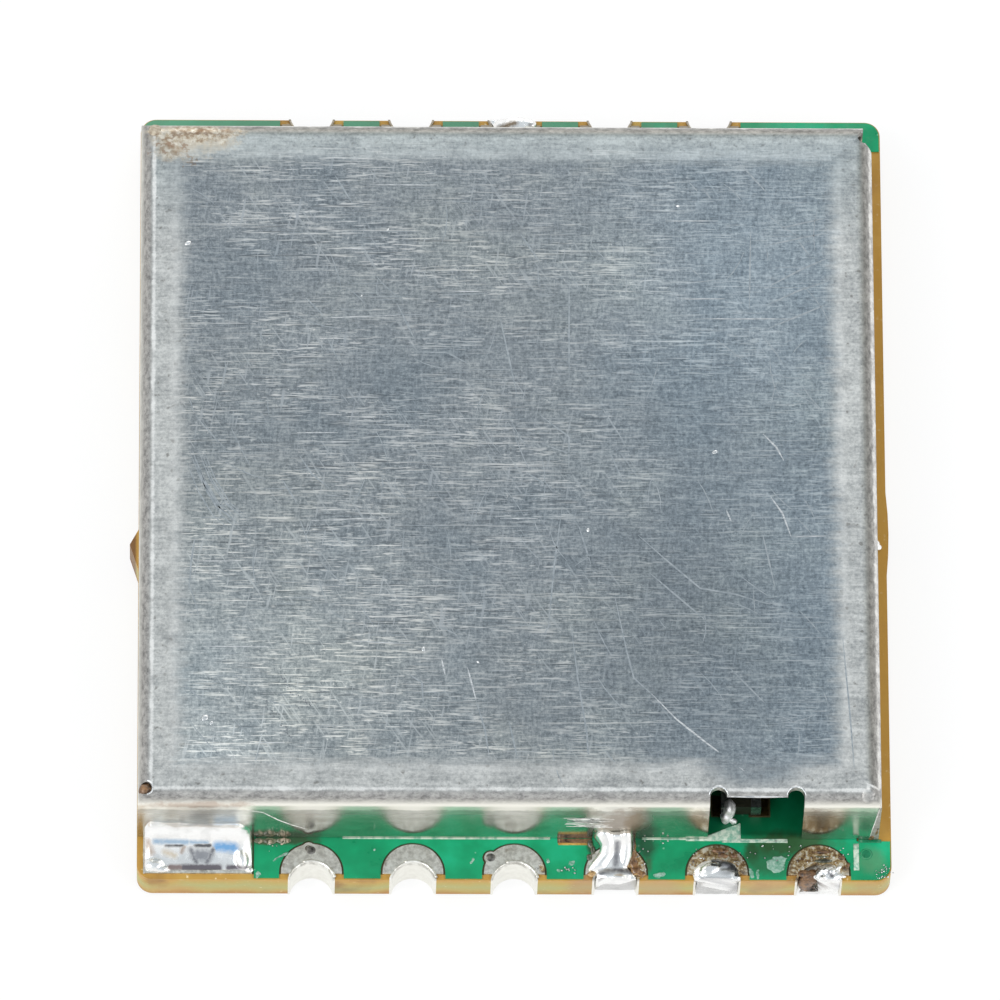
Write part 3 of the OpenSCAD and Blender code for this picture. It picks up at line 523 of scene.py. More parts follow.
@dataclass(frozen=True)
class SolderMask(Finish):
    """Glossy green solder mask."""

    name: ClassVar[str] = "green_solder_mask"
    shades: tuple[str, str, str] = ("#087F52", "#0C9664", "#15A878")
    dust: str = "#9CCDB6"
    flux_films_and_back_shade: tuple[Patch, ...] = (
        Patch((6.9, -9.5, 1), (1.3, 0.4, 1000), "#3A4424", 0.8),
        Patch((5.95, -9.75, 1), (0.2, 0.35, 1000), "#2A4A2C", 0.7),
        Patch((6.3, -9.95, 1), (0.7, 0.5, 1000), "#2F5232", 0.65),
        Patch((3.3, -9.6, 1), (0.3, 0.5, 1000), "#24402C", 0.8),
        Patch((3.35, -10.1, 1), (0.12, 0.25, 1000), "#3C5236", 0.65),
        Patch((1.9, -9.6, 1), (0.1, 0.25, 1000), "#27402B", 0.7),
        Patch((8.95, -9.95, 1), (0.4, 0.4, 1000), "#5E8462", 0.5),
        Patch((-5.8, -9.44, 1), (1.1, 0.16, 1000), "#34402A", 0.85),
        Patch((-6.3, -9.5, 1), (0.35, 0.1, 1000), "#4A4C34", 0.7),
        Patch((-6.0, 10.4, 1), (14.5, 0.9, 1000), "#718D7B", 0.6),
    )
    under_can_shade: str = "#8F9C94"
    middle: tuple[float, float] = CAN_MIDDLE
    half: tuple[float, float] = CAN_HALF

    def surface(self, add: Add, mm: Node) -> Node:
        """Build the shader: a lacquer that pools slightly, with a little dust in it.

        Args:
            add: Adds a node to the material.
            mm: Object coordinates in millimetres.

        Returns:
            The shader node.
        """
        # Liquid mask cures in slow pools of tone, a millimetre or two across.
        pool = add("TexNoise", {"Vector": mm, "Scale": 1 / 1.4, "Detail": 4.0, "Roughness": 0.55})
        colour = add("ValToRGB", {"Fac": pool}, stops=zip((0.34, 0.52, 0.68), self.shades))
        # Dust specks are about 0.05 mm wide.
        cell = add("TexVoronoi", {"Vector": mm, "Scale": 1 / 0.34, "Randomness": 1.0})
        ends = {"From Min": 0.05, "From Max": 0.1, "To Min": 0.7, "To Max": 0.0}
        speck = add("MapRange", {"Value": cell, **ends})
        few = add("TexNoise", {"Vector": mm, "Scale": 1 / 0.5})
        few = add("MapRange", {"Value": few, "From Min": 0.52, "From Max": 0.6})
        speck = add("Math", {0: speck, 1: few}, operation="MULTIPLY")
        colour = add("Mix", {"Factor": speck, "A": colour, "B": self.dust})
        # Thin flux dried over the mask near the hand soldering, and the back edge is painted darker: partly
        # grime, partly painted shade where the can's shadow falls.
        rag = add("TexNoise", {"Vector": mm, "Scale": 1 / 0.3, "Detail": 6.0, "Roughness": 0.7})
        for film in self.flux_films_and_back_shade:
            colour = film.over(add, mm, rag, colour)
        # Painted shade: the mask under the can is darkened where the can shades it.
        place = {"Vector": mm, "Location": (*self.middle, 0), "Scale": (*self.half, 1000)}
        under = add("SeparateXYZ", {"Vector": add("Mapping", place, vector_type="TEXTURE")})
        sides = [add("Math", {0: under.outputs[axis]}, operation="ABSOLUTE") for axis in "XY"]
        under = add("Math", {0: sides[0], 1: sides[1]}, operation="MAXIMUM")
        ends = {"From Min": 0.985, "From Max": 1.0, "To Min": 1.0, "To Max": 0.0}
        under = add("MapRange", {"Value": under, **ends})
        height = add("SeparateXYZ", {"Vector": mm}).outputs["Z"]
        upper = add("MapRange", {"Value": height, "From Min": 0.4, "From Max": 0.6})
        under = add("Math", {0: under, 1: upper}, operation="MULTIPLY")
        colour = add("Mix", {"Factor": under, "A": colour, "B": self.under_can_shade}, blend_type="MULTIPLY")
        peel = add("TexNoise", {"Vector": mm, "Scale": 1 / 0.22, "Detail": 2.0})
        bump = add("Bump", {"Height": peel, "Strength": 0.3, "Distance": 0.006 * MM})
        rough = add("MapRange", {"Value": pool, "To Min": 0.22, "To Max": 0.36})
        gloss = {"Base Color": colour, "Roughness": rough, "Normal": bump}
        return add("BsdfPrincipled", {**gloss, "IOR": 1.5, "Specular IOR Level": 0.35})


@dataclass(frozen=True)
class GlassLaminate(Finish):
    """Glass-fibre laminate of the bare board."""

    name: ClassVar[str] = "glass_epoxy_laminate"
    plies: tuple[str, ...] = ("#A97A38", "#B39B55", "#A8A467", "#B09C52", "#BA9242", "#B3893B")
    fibre: str = "#EBDDB6"
    scorch: str = "#6A4526"
    grime: str = "#4E4528"
    land_end: float = 10.36
    last_land: float = 8.6
    skin: float = 0.9
    tab: float = 9.48
    scorches_and_foot_line: tuple[Patch, ...] = (
        Patch((1.75, -10.5, 0.6), (0.5, 0.5, 0.6), "#A5805F", 0.55),
        Patch((3.6, -10.5, 0.5), (0.7, 0.5, 0.6), "#B08C68", 0.5),
        Patch((6.3, -10.5, 0.6), (0.8, 0.5, 0.6), "#B49066", 0.5),
        Patch((8.9, -10.5, 0.5), (0.5, 0.5, 0.5), "#A88152", 0.4),
        Patch((-8.6, -10.5, 0.3), (0.7, 0.5, 0.4), "#B98F52", 0.5),
        Patch((9.35, 0.0, 0.97), (0.5, 14, 0.3), "#A2761A", 0.8),
        Patch((9.13, 0.0, 0.97), (0.06, 8.5, 0.15), "#4E3C1E", 0.75, 0.3),
    )

    def surface(self, add: Add, mm: Node) -> Node:
        """Build the shader: ochre skins over an olive core, with pale cut fibres.

        Args:
            add: Adds a node to the material.
            mm: Object coordinates in millimetres.

        Returns:
            The shader node.
        """
        # Six plies in 0.92 mm: resin-rich ochre outside, greener glass cloth inside.
        split = add("SeparateXYZ", {"Vector": mm})
        sway = add("TexNoise", {"Vector": mm, "Scale": 1 / 1.3, "Detail": 4.0})
        sway = add("MapRange", {"Value": sway, "To Min": -0.4, "To Max": 0.4})
        level = add("Math", {0: split.outputs["Z"], 1: sway}, operation="ADD")
        level = add("MapRange", {"Value": level, "From Min": 0.0, "From Max": 1.0})
        places = (0.06, 0.24, 0.45, 0.68, 0.86, 0.97)
        colour = add("ValToRGB", {"Fac": level}, stops=zip(places, self.plies))
        # Cut bundles of glass show as pale flecks about 0.1 mm long.
        bundle = add("Mapping", {"Vector": mm, "Scale": (1 / 0.14, 1 / 0.14, 1 / 0.05)})
        bundle = add("TexNoise", {"Vector": bundle, "Scale": 1.0, "Detail": 2.0})
        fleck = add("MapRange", {"Value": bundle, "From Min": 0.66, "From Max": 0.76, "To Max": 0.8})
        colour = add("Mix", {"Factor": fleck, "A": colour, "B": self.fibre})
        # Soldering scorched patches, a thin dark line runs along the can's right foot, and the broken tabs at
        # the sides are darkest.
        burn = add("TexNoise", {"Vector": mm, "Scale": 1 / 1.3, "Detail": 4.0})
        burn = add("MapRange", {"Value": burn, "From Min": 0.56, "From Max": 0.74, "To Max": 0.6})
        out = add("Math", {0: split.outputs["X"]}, operation="ABSOLUTE")
        ends = {"From Min": self.tab, "From Max": self.tab + 0.06, "To Max": 0.85}
        out = add("MapRange", {"Value": out, **ends})
        burn = add("Math", {0: burn, 1: out}, operation="MAXIMUM")
        colour = add("Mix", {"Factor": burn, "A": colour, "B": self.scorch})
        rag = add("TexNoise", {"Vector": mm, "Scale": 1 / 0.4, "Detail": 5.0})
        for patch in self.scorches_and_foot_line:
            colour = patch.over(add, mm, rag, colour)
        # The narrow gaps between the lands and the mask are painted dark.
        along = add("Math", {0: split.outputs["Y"]}, operation="ABSOLUTE")
        across = add("Math", {0: split.outputs["X"]}, operation="ABSOLUTE")
        gap = add("Math", {0: along, 1: self.land_end}, operation="LESS_THAN")
        for value, limit in ((across, self.last_land), (self.skin, split.outputs["Z"])):
            near = add("Math", {0: value, 1: limit}, operation="LESS_THAN")
            gap = add("Math", {0: gap, 1: near}, operation="MULTIPLY")
        colour = add("Mix", {"Factor": gap, "A": colour, "B": self.grime})
        bump = add("Bump", {"Height": bundle, "Strength": 0.5, "Distance": 0.012 * MM})
        cut = {"Base Color": colour, "Roughness": 0.5, "IOR": 1.5, "Normal": bump}
        return add("BsdfPrincipled", cut)


@dataclass(frozen=True)
class HotAirTin(Finish):
    """Tin-levelled copper of the lands and terminals."""

    name: ClassVar[str] = "hot_air_levelled_tin"
    shades: tuple[str, str, str] = ("#B9B7AF", "#D6D4CC", "#F0EFE8")
    bore: str = "#F4F3EB"
    grime: str = "#7A6A54"
    amber: tuple[str, str, str, str] = ("#55391F", "#906C3C", "#C9AC76", "#F4EDDA")
    fluxed: tuple[tuple[float, float, float, float], ...] = (
        (5.08, -10.0, 1.2, 0.9),
        (7.55, -10.0, 1.25, 0.9),
        (3.0, -10.1, 0.4, 0.6),
        (0.72, -10.2, 0.12, 0.16),
        (1.95, -10.3, 0.14, 0.14),
    )
    back_tint: Patch = Patch((0.0, 10.4, 1), (60.0, 1.0, 1000), "#93846C", 0.8)

    def surface(self, add: Add, mm: Node) -> Node:
        """Build the shader: soft grey tin that froze in patches, with a little grime.

        Args:
            add: Adds a node to the material.
            mm: Object coordinates in millimetres.

        Returns:
            The shader node.
        """
        # The tin froze in patches of 0.15 mm or so, some bright and some dull.
        patch = add("TexNoise", {"Vector": mm, "Scale": 1 / 0.16, "Detail": 4.0, "Roughness": 0.65})
        colour = add("ValToRGB", {"Fac": patch}, stops=zip((0.34, 0.48, 0.6), self.shades))
        soil = add("TexNoise", {"Vector": mm, "Scale": 1 / 0.3, "Detail": 4.0})
        soil = add("MapRange", {"Value": soil, "From Min": 0.64, "From Max": 0.74, "To Max": 0.55})
        colour = add("Mix", {"Factor": soil, "A": colour, "B": self.grime})
        # Amber flux, burnt in spots of 0.1 mm, covers the lands that were soldered by hand.
        burn = add("TexNoise", {"Vector": mm, "Scale": 1 / 0.13, "Detail": 5.0, "Roughness": 0.7})
        amber = add("ValToRGB", {"Fac": burn}, stops=zip((0.36, 0.44, 0.51, 0.59), self.amber))
        rag = add("TexNoise", {"Vector": mm, "Scale": 1 / 0.3, "Detail": 5.0, "Roughness": 0.7})
        for x, y, wide, deep in self.fluxed:
            film = Patch((x, y, 1), (wide, deep, 1000), self.amber[0], 0.92)
            colour = film.over(add, mm, rag, colour, amber)
        # The lands along the back edge are tinted a darker brown.
        colour = self.back_tint.over(add, mm, rag, colour)
        # The bores were washed smooth by the solder wave.
        height = add("SeparateXYZ", {"Vector": mm}).outputs["Z"]
        ends = {"From Min": 0.86, "From Max": 0.96, "To Min": 0.85, "To Max": 0.0}
        inner = add("MapRange", {"Value": height, **ends})
        colour = add("Mix", {"Factor": inner, "A": colour, "B": self.bore})
        ends = {"From Min": 0.3, "From Max": 0.7, "To Min": 0.46, "To Max": 0.3}
        rough = add("MapRange", {"Value": patch, **ends})
        bump = add("Bump", {"Height": patch, "Strength": 0.4, "Distance": 0.004 * MM})
        metal = {"Base Color": colour, "Metallic": 1.0, "Roughness": rough, "Normal": bump}
        return add("BsdfPrincipled", metal)


@dataclass(frozen=True)
class BrightSolder(Finish):
    """Hand-worked solder that froze bright, with painted stains, painted shade and painted reflections."""

    name: ClassVar[str] = "bright_solder"
    clean: tuple[str, str] = ("#EEEEEC", "#FAFAF8")
    mark: ClassVar[str] = "stain"

    def surface(self, add: Add, mm: Node) -> Node:
        """Build the shader: near-mirror metal, with stain colours, painted shade and painted reflections
        where the painted marks are set.

        Args:
            add: Adds a node to the material.
            mm: Object coordinates in millimetres.

        Returns:
            The shader node.
        """
        grain = add("TexNoise", {"Vector": mm, "Scale": 1 / 0.3, "Detail": 3.0})
        colour = add("ValToRGB", {"Fac": grain}, stops=zip((0.36, 0.55), self.clean))
        # Painted marks lie over the metal: stains, and painted shade and reflections in the creases; their
        # borders break up over 0.04 to 0.1 mm.
        stain = add("Attribute", attribute_name=self.mark)
        rag = add("TexNoise", {"Vector": mm, "Scale": 1 / 0.07, "Detail": 4.0, "Roughness": 0.7})
        rag = add("MapRange", {"Value": rag, "To Min": 0.5, "To Max": 1.5})
        cover = add("Math", {0: stain.outputs["Alpha"], 1: rag}, operation="MULTIPLY")
        cover = add("MapRange", {"Value": cover, "From Min": 0.25, "From Max": 0.8, "To Max": 0.95})
        colour = add("Mix", {"Factor": cover, "A": colour, "B": stain.outputs["Color"]})
        rough = add("MapRange", {"Value": cover, "To Min": 0.23, "To Max": 0.38})
        bump = add("Bump", {"Height": grain, "Strength": 0.2, "Distance": 0.004 * MM})
        metal = {"Base Color": colour, "Metallic": 1.0, "Roughness": rough, "Normal": bump}
        return add("BsdfPrincipled", metal)


@dataclass(frozen=True)
class FluxResin(Finish):
    """Dried rosin flux on the board."""

    name: str
    shades: tuple[str, str, str, str]
    board: float = BOARD_TOP
    thick: float = 0.12

    def surface(self, add: Add, mm: Node) -> Node:
        """Build the shader: glassy resin, pale where it is thin and burnt dark where it is thick.

        Args:
            add: Adds a node to the material.
            mm: Object coordinates in millimetres.

        Returns:
            The shader node.
        """
        # Thickness is what shows above the board, and heat shifts it over a few tenths of a millimetre.
        height = add("SeparateXYZ", {"Vector": mm}).outputs["Z"]
        ends = {"From Min": self.board, "From Max": self.board + self.thick}
        depth = add("MapRange", {"Value": height, **ends})
        heat = add("TexNoise", {"Vector": mm, "Scale": 1 / 0.16, "Detail": 6.0, "Roughness": 0.75})
        ends = {"From Min": 0.3, "From Max": 0.7, "To Min": -0.5, "To Max": 0.5}
        heat = add("MapRange", {"Value": heat, **ends})
        depth = add("Math", {0: depth, 1: heat}, operation="ADD")
        places = (0.0, 0.35, 0.65, 1.0)
        colour = add("ValToRGB", {"Fac": depth}, stops=zip(places, self.shades))
        grain = add("TexNoise", {"Vector": mm, "Scale": 1 / 0.09, "Detail": 2.0})
        bump = add("Bump", {"Height": grain, "Strength": 0.5, "Distance": 0.01 * MM})
        resin = {"Base Color": colour, "Roughness": 0.16, "IOR": 1.53, "Normal": bump, "Coat Weight": 0.6}
        return add("BsdfPrincipled", resin)


@dataclass(frozen=True)
class PrintInk(Finish):
    """Screen-printed legend ink."""

    name: ClassVar[str] = "printed_ink"
    shades: tuple[str, str] = ("#7FAE97", "#CAD8C6")

    def surface(self, add: Add, mm: Node) -> Node:
        """Build the shader: matt ink, thin and worn in places.

        Args:
            add: Adds a node to the material.
            mm: Object coordinates in millimetres.

        Returns:
            The shader node.
        """
        thin = add("TexNoise", {"Vector": mm, "Scale": 1 / 0.12, "Detail": 3.0})
        colour = add("ValToRGB", {"Fac": thin}, stops=zip((0.36, 0.56), self.shades))
        bump = add("Bump", {"Height": thin, "Strength": 0.4, "Distance": 0.006 * MM})
        return add("BsdfPrincipled", {"Base Color": colour, "Roughness": 0.62, "Normal": bump})


@dataclass(frozen=True)
class CastBody(Finish):
    """A moulded or fired body: chip resin, ceramic or ferrite."""

    name: str
    shades: tuple[str, str]
    grain: float
    rough: float

    def surface(self, add: Add, mm: Node) -> Node:
        """Build the shader: a fine-grained body with a soft shine.

        Args:
            add: Adds a node to the material.
            mm: Object coordinates in millimetres.

        Returns:
            The shader node.
        """
        fine = {"Vector": mm, "Scale": 1 / self.grain, "Detail": 4.0, "Roughness": 0.6}
        grain = add("TexNoise", fine)
        colour = add("ValToRGB", {"Fac": grain}, stops=zip((0.36, 0.64), self.shades))
        bump = add("Bump", {"Height": grain, "Strength": 0.5, "Distance": 0.01 * MM})
        rough = add("MapRange", {"Value": grain, "To Min": self.rough - 0.1, "To Max": self.rough + 0.1})
        return add("BsdfPrincipled", {"Base Color": colour, "Roughness": rough, "Normal": bump})


@dataclass(frozen=True)
class PlatedMetal(Finish):
    """A thin plating: tin on leads and part ends, nickel on the crystal's lid, gold on lands."""

    name: str
    shades: tuple[str, str]
    grain: tuple[float, float, float]
    rough: float

    def surface(self, add: Add, mm: Node) -> Node:
        """Build the shader: metal with the grain that its plating bath or rolling left.

        Args:
            add: Adds a node to the material.
            mm: Object coordinates in millimetres.

        Returns:
            The shader node.
        """
        scale = tuple(1 / size for size in self.grain)
        grain = add("Mapping", {"Vector": mm, "Scale": scale})
        grain = add("TexNoise", {"Vector": grain, "Scale": 1.0, "Detail": 3.0})
        colour = add("ValToRGB", {"Fac": grain}, stops=zip((0.36, 0.62), self.shades))
        rough = add("MapRange", {"Value": grain, "To Min": self.rough + 0.1, "To Max": self.rough - 0.1})
        bump = add("Bump", {"Height": grain, "Strength": 0.4, "Distance": 0.008 * MM})
        metal = {"Base Color": colour, "Metallic": 1.0, "Roughness": rough, "Normal": bump}
        return add("BsdfPrincipled", metal)


# The module's large surfaces, each described in its class
SHEET = TinPlatedSheet()
MASK = SolderMask()
LAMINATE = GlassLaminate()
LANDS = HotAirTin()
SOLDER = BrightSolder()
INK = PrintInk()
# Flux: glassy amber or olive where it dried, rough brown where it burnt, beige where it foamed
BURNT_FLUX = FluxResin("burnt_flux", ("#BC9A64", "#865F34", "#56391E", "#2E1E12"), thick=0.16)
OLIVE_FLUX = FluxResin("olive_flux", ("#75785A", "#5A5C42", "#43442F", "#26291B"), thick=0.07)
CHARRED_FLUX = CastBody("charred_flux", ("#38261A", "#8A6848"), 0.12, 0.3)
BEIGE_FLUX = CastBody("beige_flux", ("#7E6C58", "#BDB29E"), 0.12, 0.5)
# Bodies of the parts: satin black resin, chalky white ceramic, capacitor ceramic painted near-black as
# painted shade under the can, a shiny glaze and blue ferrite
CHIP_RESIN = CastBody("moulded_epoxy", ("#131416", "#26282B"), 0.05, 0.5)
PALE_CERAMIC = CastBody("white_alumina", ("#CFCBBE", "#E9E6DC"), 0.07, 0.45)
SHADED_CAPACITOR_CERAMIC = CastBody("capacitor_ceramic_painted_shade", ("#151610", "#252619"), 0.06, 0.4)
BLACK_GLAZE = CastBody("glazed_resistor", ("#121314", "#2A2B2D"), 0.08, 0.3)
BLUE_FERRITE = CastBody("blue_ferrite", ("#2F4C6E", "#4B6E93"), 0.06, 0.4)
# Platings: soft grey leads, brighter part ends, a cover with fine lines, gold painted dim as painted shade
# under the can, and frosty solder
LEADS = PlatedMetal("matte_tin_leads", ("#8E9092", "#C4C6C7"), (0.08, 0.08, 0.08), 0.4)
ENDS = PlatedMetal("tinned_part_ends", ("#9A9B9A", "#DCDDDC"), (0.12, 0.12, 0.12), 0.3)
COVER = PlatedMetal("nickel_cover", ("#8F9190", "#C9C8C2"), (0.9, 0.05, 0.2), 0.3)
GOLD = PlatedMetal("immersion_gold", ("#4E4024", "#77653A"), (0.15, 0.15, 0.15), 0.35)
FROSTED = PlatedMetal("frosted_solder", ("#DADAD8", "#FFFFFF"), (0.1, 0.1, 0.1), 0.6)
# Wear on the can: bright rubbed lines, faint hairlines, dark scuffs, dull oxide and burnished edges
RUBBED = PlatedMetal("rubbed_tin", ("#AEB3B6", "#E6E7E6"), (0.2, 0.05, 0.1), 0.36)
FAINT = PlatedMetal("scratched_tin", ("#959DA2", "#B3B9BC"), (0.12, 0.12, 0.1), 0.38)
SCUFF = PlatedMetal("scuffed_tin", ("#72777A", "#8F9497"), (0.1, 0.1, 0.1), 0.42)
DULL = PlatedMetal("oxidised_tin", ("#3E3D3A", "#8C8A85"), (0.1, 0.1, 0.1), 0.45)
OXIDE = CastBody("oxide_film", ("#7C7971", "#A19E95"), 0.12, 0.6)
BURNISHED = CastBody("burnished_tin", ("#B9B8B2", "#F2F1EC"), 0.1, 0.4)
# Wear on the board: ochre laminate laid bare, mask sunk into a via and scraped pale; the same darker mask
# also lies along the can's foot
BARE = CastBody("bare_laminate", ("#A57C31", "#C4A052"), 0.1, 0.5)
DARK_MASK = CastBody("darker_mask", ("#0A6B46", "#0F7D54"), 0.12, 0.3)
SCRAPED_MASK = CastBody("scraped_mask", ("#4E8F72", "#A3BFB0"), 0.12, 0.45)


def dress(finish: Finish, *names: str) -> None:
    """Give CAD nodes a finish.

    Args:
        finish: The finish to give.
        names: The nodes that take it.
    """
    for name in names:
        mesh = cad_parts[name].data
        mesh.materials.clear()
        mesh.materials.append(finish.material())
        log.info("node %s: %s", name, finish.name)


class Skin:
    """A mesh that is shaped in millimetres and handed over in metres."""

    def __init__(self, name: str) -> None:
        """Start an empty skin with the piece's name."""
        self.name = name
        self.mesh = bmesh.new()

    def ball(self, at: Point, size: Point, turn: Point = (0.0, 0.0, 0.0), detail: int = 3) -> None:
        """Add a stretched ball.

        Args:
            at: Its middle.
            size: Its three half-widths.
            turn: Its turns in degrees.
            detail: How finely it is divided.
        """
        lie = Euler([math.radians(a) for a in turn]).to_matrix().to_4x4()
        matrix = Matrix.Translation(at) @ lie @ Matrix.Diagonal((*size, 1.0))
        bmesh.ops.create_icosphere(self.mesh, subdivisions=detail, radius=1.0, matrix=matrix)

    def ridge(self, stations: Sequence[tuple[Point, Point]], steps: int = 6) -> None:
        """Add a smooth ridge: balls laid close together along a path.

        Args:
            stations: The middle and the half-widths of the ball at each station.
            steps: How many balls lead from one station to the next.
        """
        for (start, small), (end, large) in zip(stations, stations[1:]):
            for step in range(steps + 1):
                share = step / steps
                at = Vector(start).lerp(Vector(end), share)
                self.ball(at[:], Vector(small).lerp(Vector(large), share)[:], detail=4)

    def rod(self, at: Point, radii: tuple[float, float], depth: float, sides: int = 40) -> None:
        """Add an upright round rod or ring-shaped foot.

        Args:
            at: Its middle.
            radii: Its radius below and above.
            depth: Its height.
            sides: How many sides it has.
        """
        bmesh.ops.create_cone(
            self.mesh,
            cap_ends=True,
            segments=sides,
            radius1=radii[0],
            radius2=radii[1],
            depth=depth,
            matrix=Matrix.Translation(at),
        )

    def cloth(self, across: int, along: int, shape: Callable[[float, float], Point], foot: float) -> None:
        """Add a shaped sheet that is closed down to a flat foot.

        Args:
            across: Steps in the first direction.
            along: Steps in the second direction.
            shape: Gives the point for two shares from 0 to 1.
            foot: Height of the flat foot.
        """
        made = bmesh.ops.create_grid(self.mesh, x_segments=across, y_segments=along, size=0.5)
        verts = made["verts"]
        for vert in verts:
            vert.co = shape(vert.co.x + 0.5, vert.co.y + 0.5)
        rim = {e for v in verts for e in v.link_edges if e.is_boundary}
        sides = bmesh.ops.extrude_edge_only(self.mesh, edges=list(rim))["geom"]
        low = [g for g in sides if isinstance(g, bmesh.types.BMVert)]
        for vert in low:
            vert.co.z = foot
        loop = {e for v in low for e in v.link_edges if e.is_boundary}
        bmesh.ops.holes_fill(self.mesh, edges=list(loop), sides=0)

    def ribbon(self, path: Sequence[Point], width: float, out: Vector, proud: float = 0.004) -> None:
        """Add a thin raised line that tapers to both ends.

        Args:
            path: The points that it follows.
            width: Its full width in the middle.
            out: The direction that it stands proud in.
            proud: How far it stands proud and sinks in.
        """
        points = [Vector(p) for p in path]
        steps = 4 * (len(points) - 1)
        made = bmesh.ops.create_grid(self.mesh, x_segments=steps, y_segments=1, size=0.5)
        for vert in made["verts"]:
            share = (vert.co.x + 0.5) * (len(points) - 1)
            leg = min(int(share), len(points) - 2)
            run = points[leg + 1] - points[leg]
            side = out.cross(run).normalized()
            swell = width * (0.25 + 0.75 * math.sin(math.pi * min(1.0, max(0.0, vert.co.x + 0.5))))
            vert.co = points[leg] + run * (share - leg) + side * swell * vert.co.y + out * proud
        faces = {f for v in made["verts"] for f in v.link_faces}
        raised = bmesh.ops.extrude_face_region(self.mesh, geom=list(faces))["geom"]
        low = [g for g in raised if isinstance(g, bmesh.types.BMVert)]
        bmesh.ops.translate(self.mesh, verts=low, vec=out * (-2 * proud))

    def panel(self, corners: Sequence[Point], out: Vector, proud: float, steps: int = 1) -> None:
        """Add a thin four-cornered plate.

        Args:
            corners: Its four corners in order.
            out: The direction that it stands proud in.
            proud: How far it stands proud; it sinks in as far.
            steps: How often each side is divided.
        """
        a, b, c, d = (Vector(corner) for corner in corners)
        made = bmesh.ops.create_grid(self.mesh, x_segments=steps, y_segments=steps, size=0.5)
        for vert in made["verts"]:
            u, v = vert.co.x + 0.5, vert.co.y + 0.5
            vert.co = (a * (1 - u) + b * u) * (1 - v) + (d * (1 - u) + c * u) * v + out * proud
        faces = {f for v in made["verts"] for f in v.link_faces}
        sunk = bmesh.ops.extrude_face_region(self.mesh, geom=list(faces))["geom"]
        low = [g for g in sunk if isinstance(g, bmesh.types.BMVert)]
        bmesh.ops.translate(self.mesh, verts=low, vec=out * (-2 * proud))

    def bead(self, middle: Point, radius: float, thick: float, start: float, sweep: float) -> None:
        """Add a round bead along a level arc.

        Args:
            middle: The middle of the arc.
            radius: The arc's radius.
            thick: The bead's own radius.
            start: Where the arc starts, in degrees from across.
            sweep: How far it runs, in degrees.
        """
        turn = Matrix.Rotation(math.radians(start), 4, "Z")
        upright = Matrix.Rotation(math.pi / 2, 4, "X")
        lie = Matrix.Translation(middle) @ turn @ Matrix.Translation((radius, 0, 0)) @ upright
        ring = bmesh.ops.create_circle(self.mesh, segments=10, radius=thick, matrix=lie)["verts"]
        geom = [*ring, *{e for v in ring for e in v.link_edges}]
        bmesh.ops.spin(self.mesh, geom=geom, cent=middle, axis=UP, angle=math.radians(sweep), steps=24)
        open_ends = [e for e in self.mesh.edges if e.is_boundary]
        bmesh.ops.holes_fill(self.mesh, edges=open_ends, sides=0)

    def fuse(self, voxel: float, rounds: int) -> None:
        """Join everything added so far into one skin and relax it.

        Args:
            voxel: The finest detail that is kept.
            rounds: How often the skin is relaxed.
        """
        raw_mesh = bpy.data.meshes.new("raw")
        self.mesh.to_mesh(raw_mesh)
        raw = bpy.data.objects.new("raw", raw_mesh)
        bpy.context.scene.collection.objects.link(raw)
        join = raw.modifiers.new("join", "REMESH")
        join.mode = "VOXEL"
        join.voxel_size = voxel
        relax = raw.modifiers.new("relax", "SMOOTH")
        relax.iterations = rounds
        self.mesh.free()
        self.mesh = bmesh.new()
        self.mesh.from_object(raw, bpy.context.evaluated_depsgraph_get())
        bpy.data.objects.remove(raw)
        bpy.data.meshes.remove(raw_mesh)

    def trim(self, at: Point, away: Point) -> None:
        """Cut off what lies beyond a plane and close the cut.

        Args:
            at: A point of the plane.
            away: The direction of what goes.
        """
        geom = [*self.mesh.verts, *self.mesh.edges, *self.mesh.faces]
        cut = bmesh.ops.bisect_plane(self.mesh, geom=geom, plane_co=at, plane_no=away, clear_outer=True)
        rim = [g for g in cut["geom_cut"] if isinstance(g, bmesh.types.BMEdge)]
        bmesh.ops.holes_fill(self.mesh, edges=rim, sides=0)

    def ripple(self, height: float, size: float, shift: float = 0.0) -> None:
        """Push the skin in and out along its normals by a smooth noise.

        Args:
            height: The most that a point moves.
            size: The noise's grain.
            shift: Picks another part of the noise.
        """
        self.mesh.normal_update()
        for vert in self.mesh.verts:
            here = vert.co / size + Vector((shift, shift * 0.7, -shift))
            vert.co = vert.co + vert.normal * (noise.noise(here) * height)

    def piece(
        self, finish: Finish, slot: str, replaced: Sequence[str] = (), smooth: bool = True
    ) -> bpy.types.Object:
        """Hand the skin over as a piece that rides on the module.

        Args:
            finish: Its finish.
            slot: The record's material slot; it is not used.
            replaced: CAD nodes that it stands for.
            smooth: Whether it is shaded smooth.

        Returns:
            The piece.
        """
        bmesh.ops.recalc_face_normals(self.mesh, faces=self.mesh.faces)
        bmesh.ops.scale(self.mesh, vec=(MM, MM, MM), verts=self.mesh.verts)
        for face in self.mesh.faces:
            face.smooth = smooth
        mesh = bpy.data.meshes.new(self.name)
        self.mesh.to_mesh(mesh)
        self.mesh.free()
        mesh.materials.append(finish.material())
        made = bpy.data.objects.new(self.name, mesh)
        bpy.context.scene.collection.objects.link(made)
        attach(made, "root")
        if replaced:
            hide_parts(*replaced)
        log.info("piece %s: %d faces, %s", self.name, len(mesh.polygons), finish.name)
        return made


@dataclass(frozen=True)
class Mark:
    """A mark painted on solder, for stains, painted shade and painted reflections alike: a stroke along a
    path, with a soft edge.
    """

    path: tuple[Point, ...]
    half: float
    colour: str
    depth: float = 1.0

    def strength(self, at: Vector) -> float:
        """Give how strongly the mark covers a point.

        Args:
            at: The point, in millimetres.

        Returns:
            1 on the path, half of that at the half-width, 0 at twice the half-width.
        """
        best = math.inf
        for start, end in zip(self.path, self.path[1:]):
            a, run = Vector(start), Vector(end) - Vector(start)
            share = min(1.0, max(0.0, (at - a).dot(run) / max(run.length_squared, 1e-9)))
            best = min(best, (a + run * share - at).length)
        return self.depth * max(0.0, 1.0 - best / (2 * self.half))


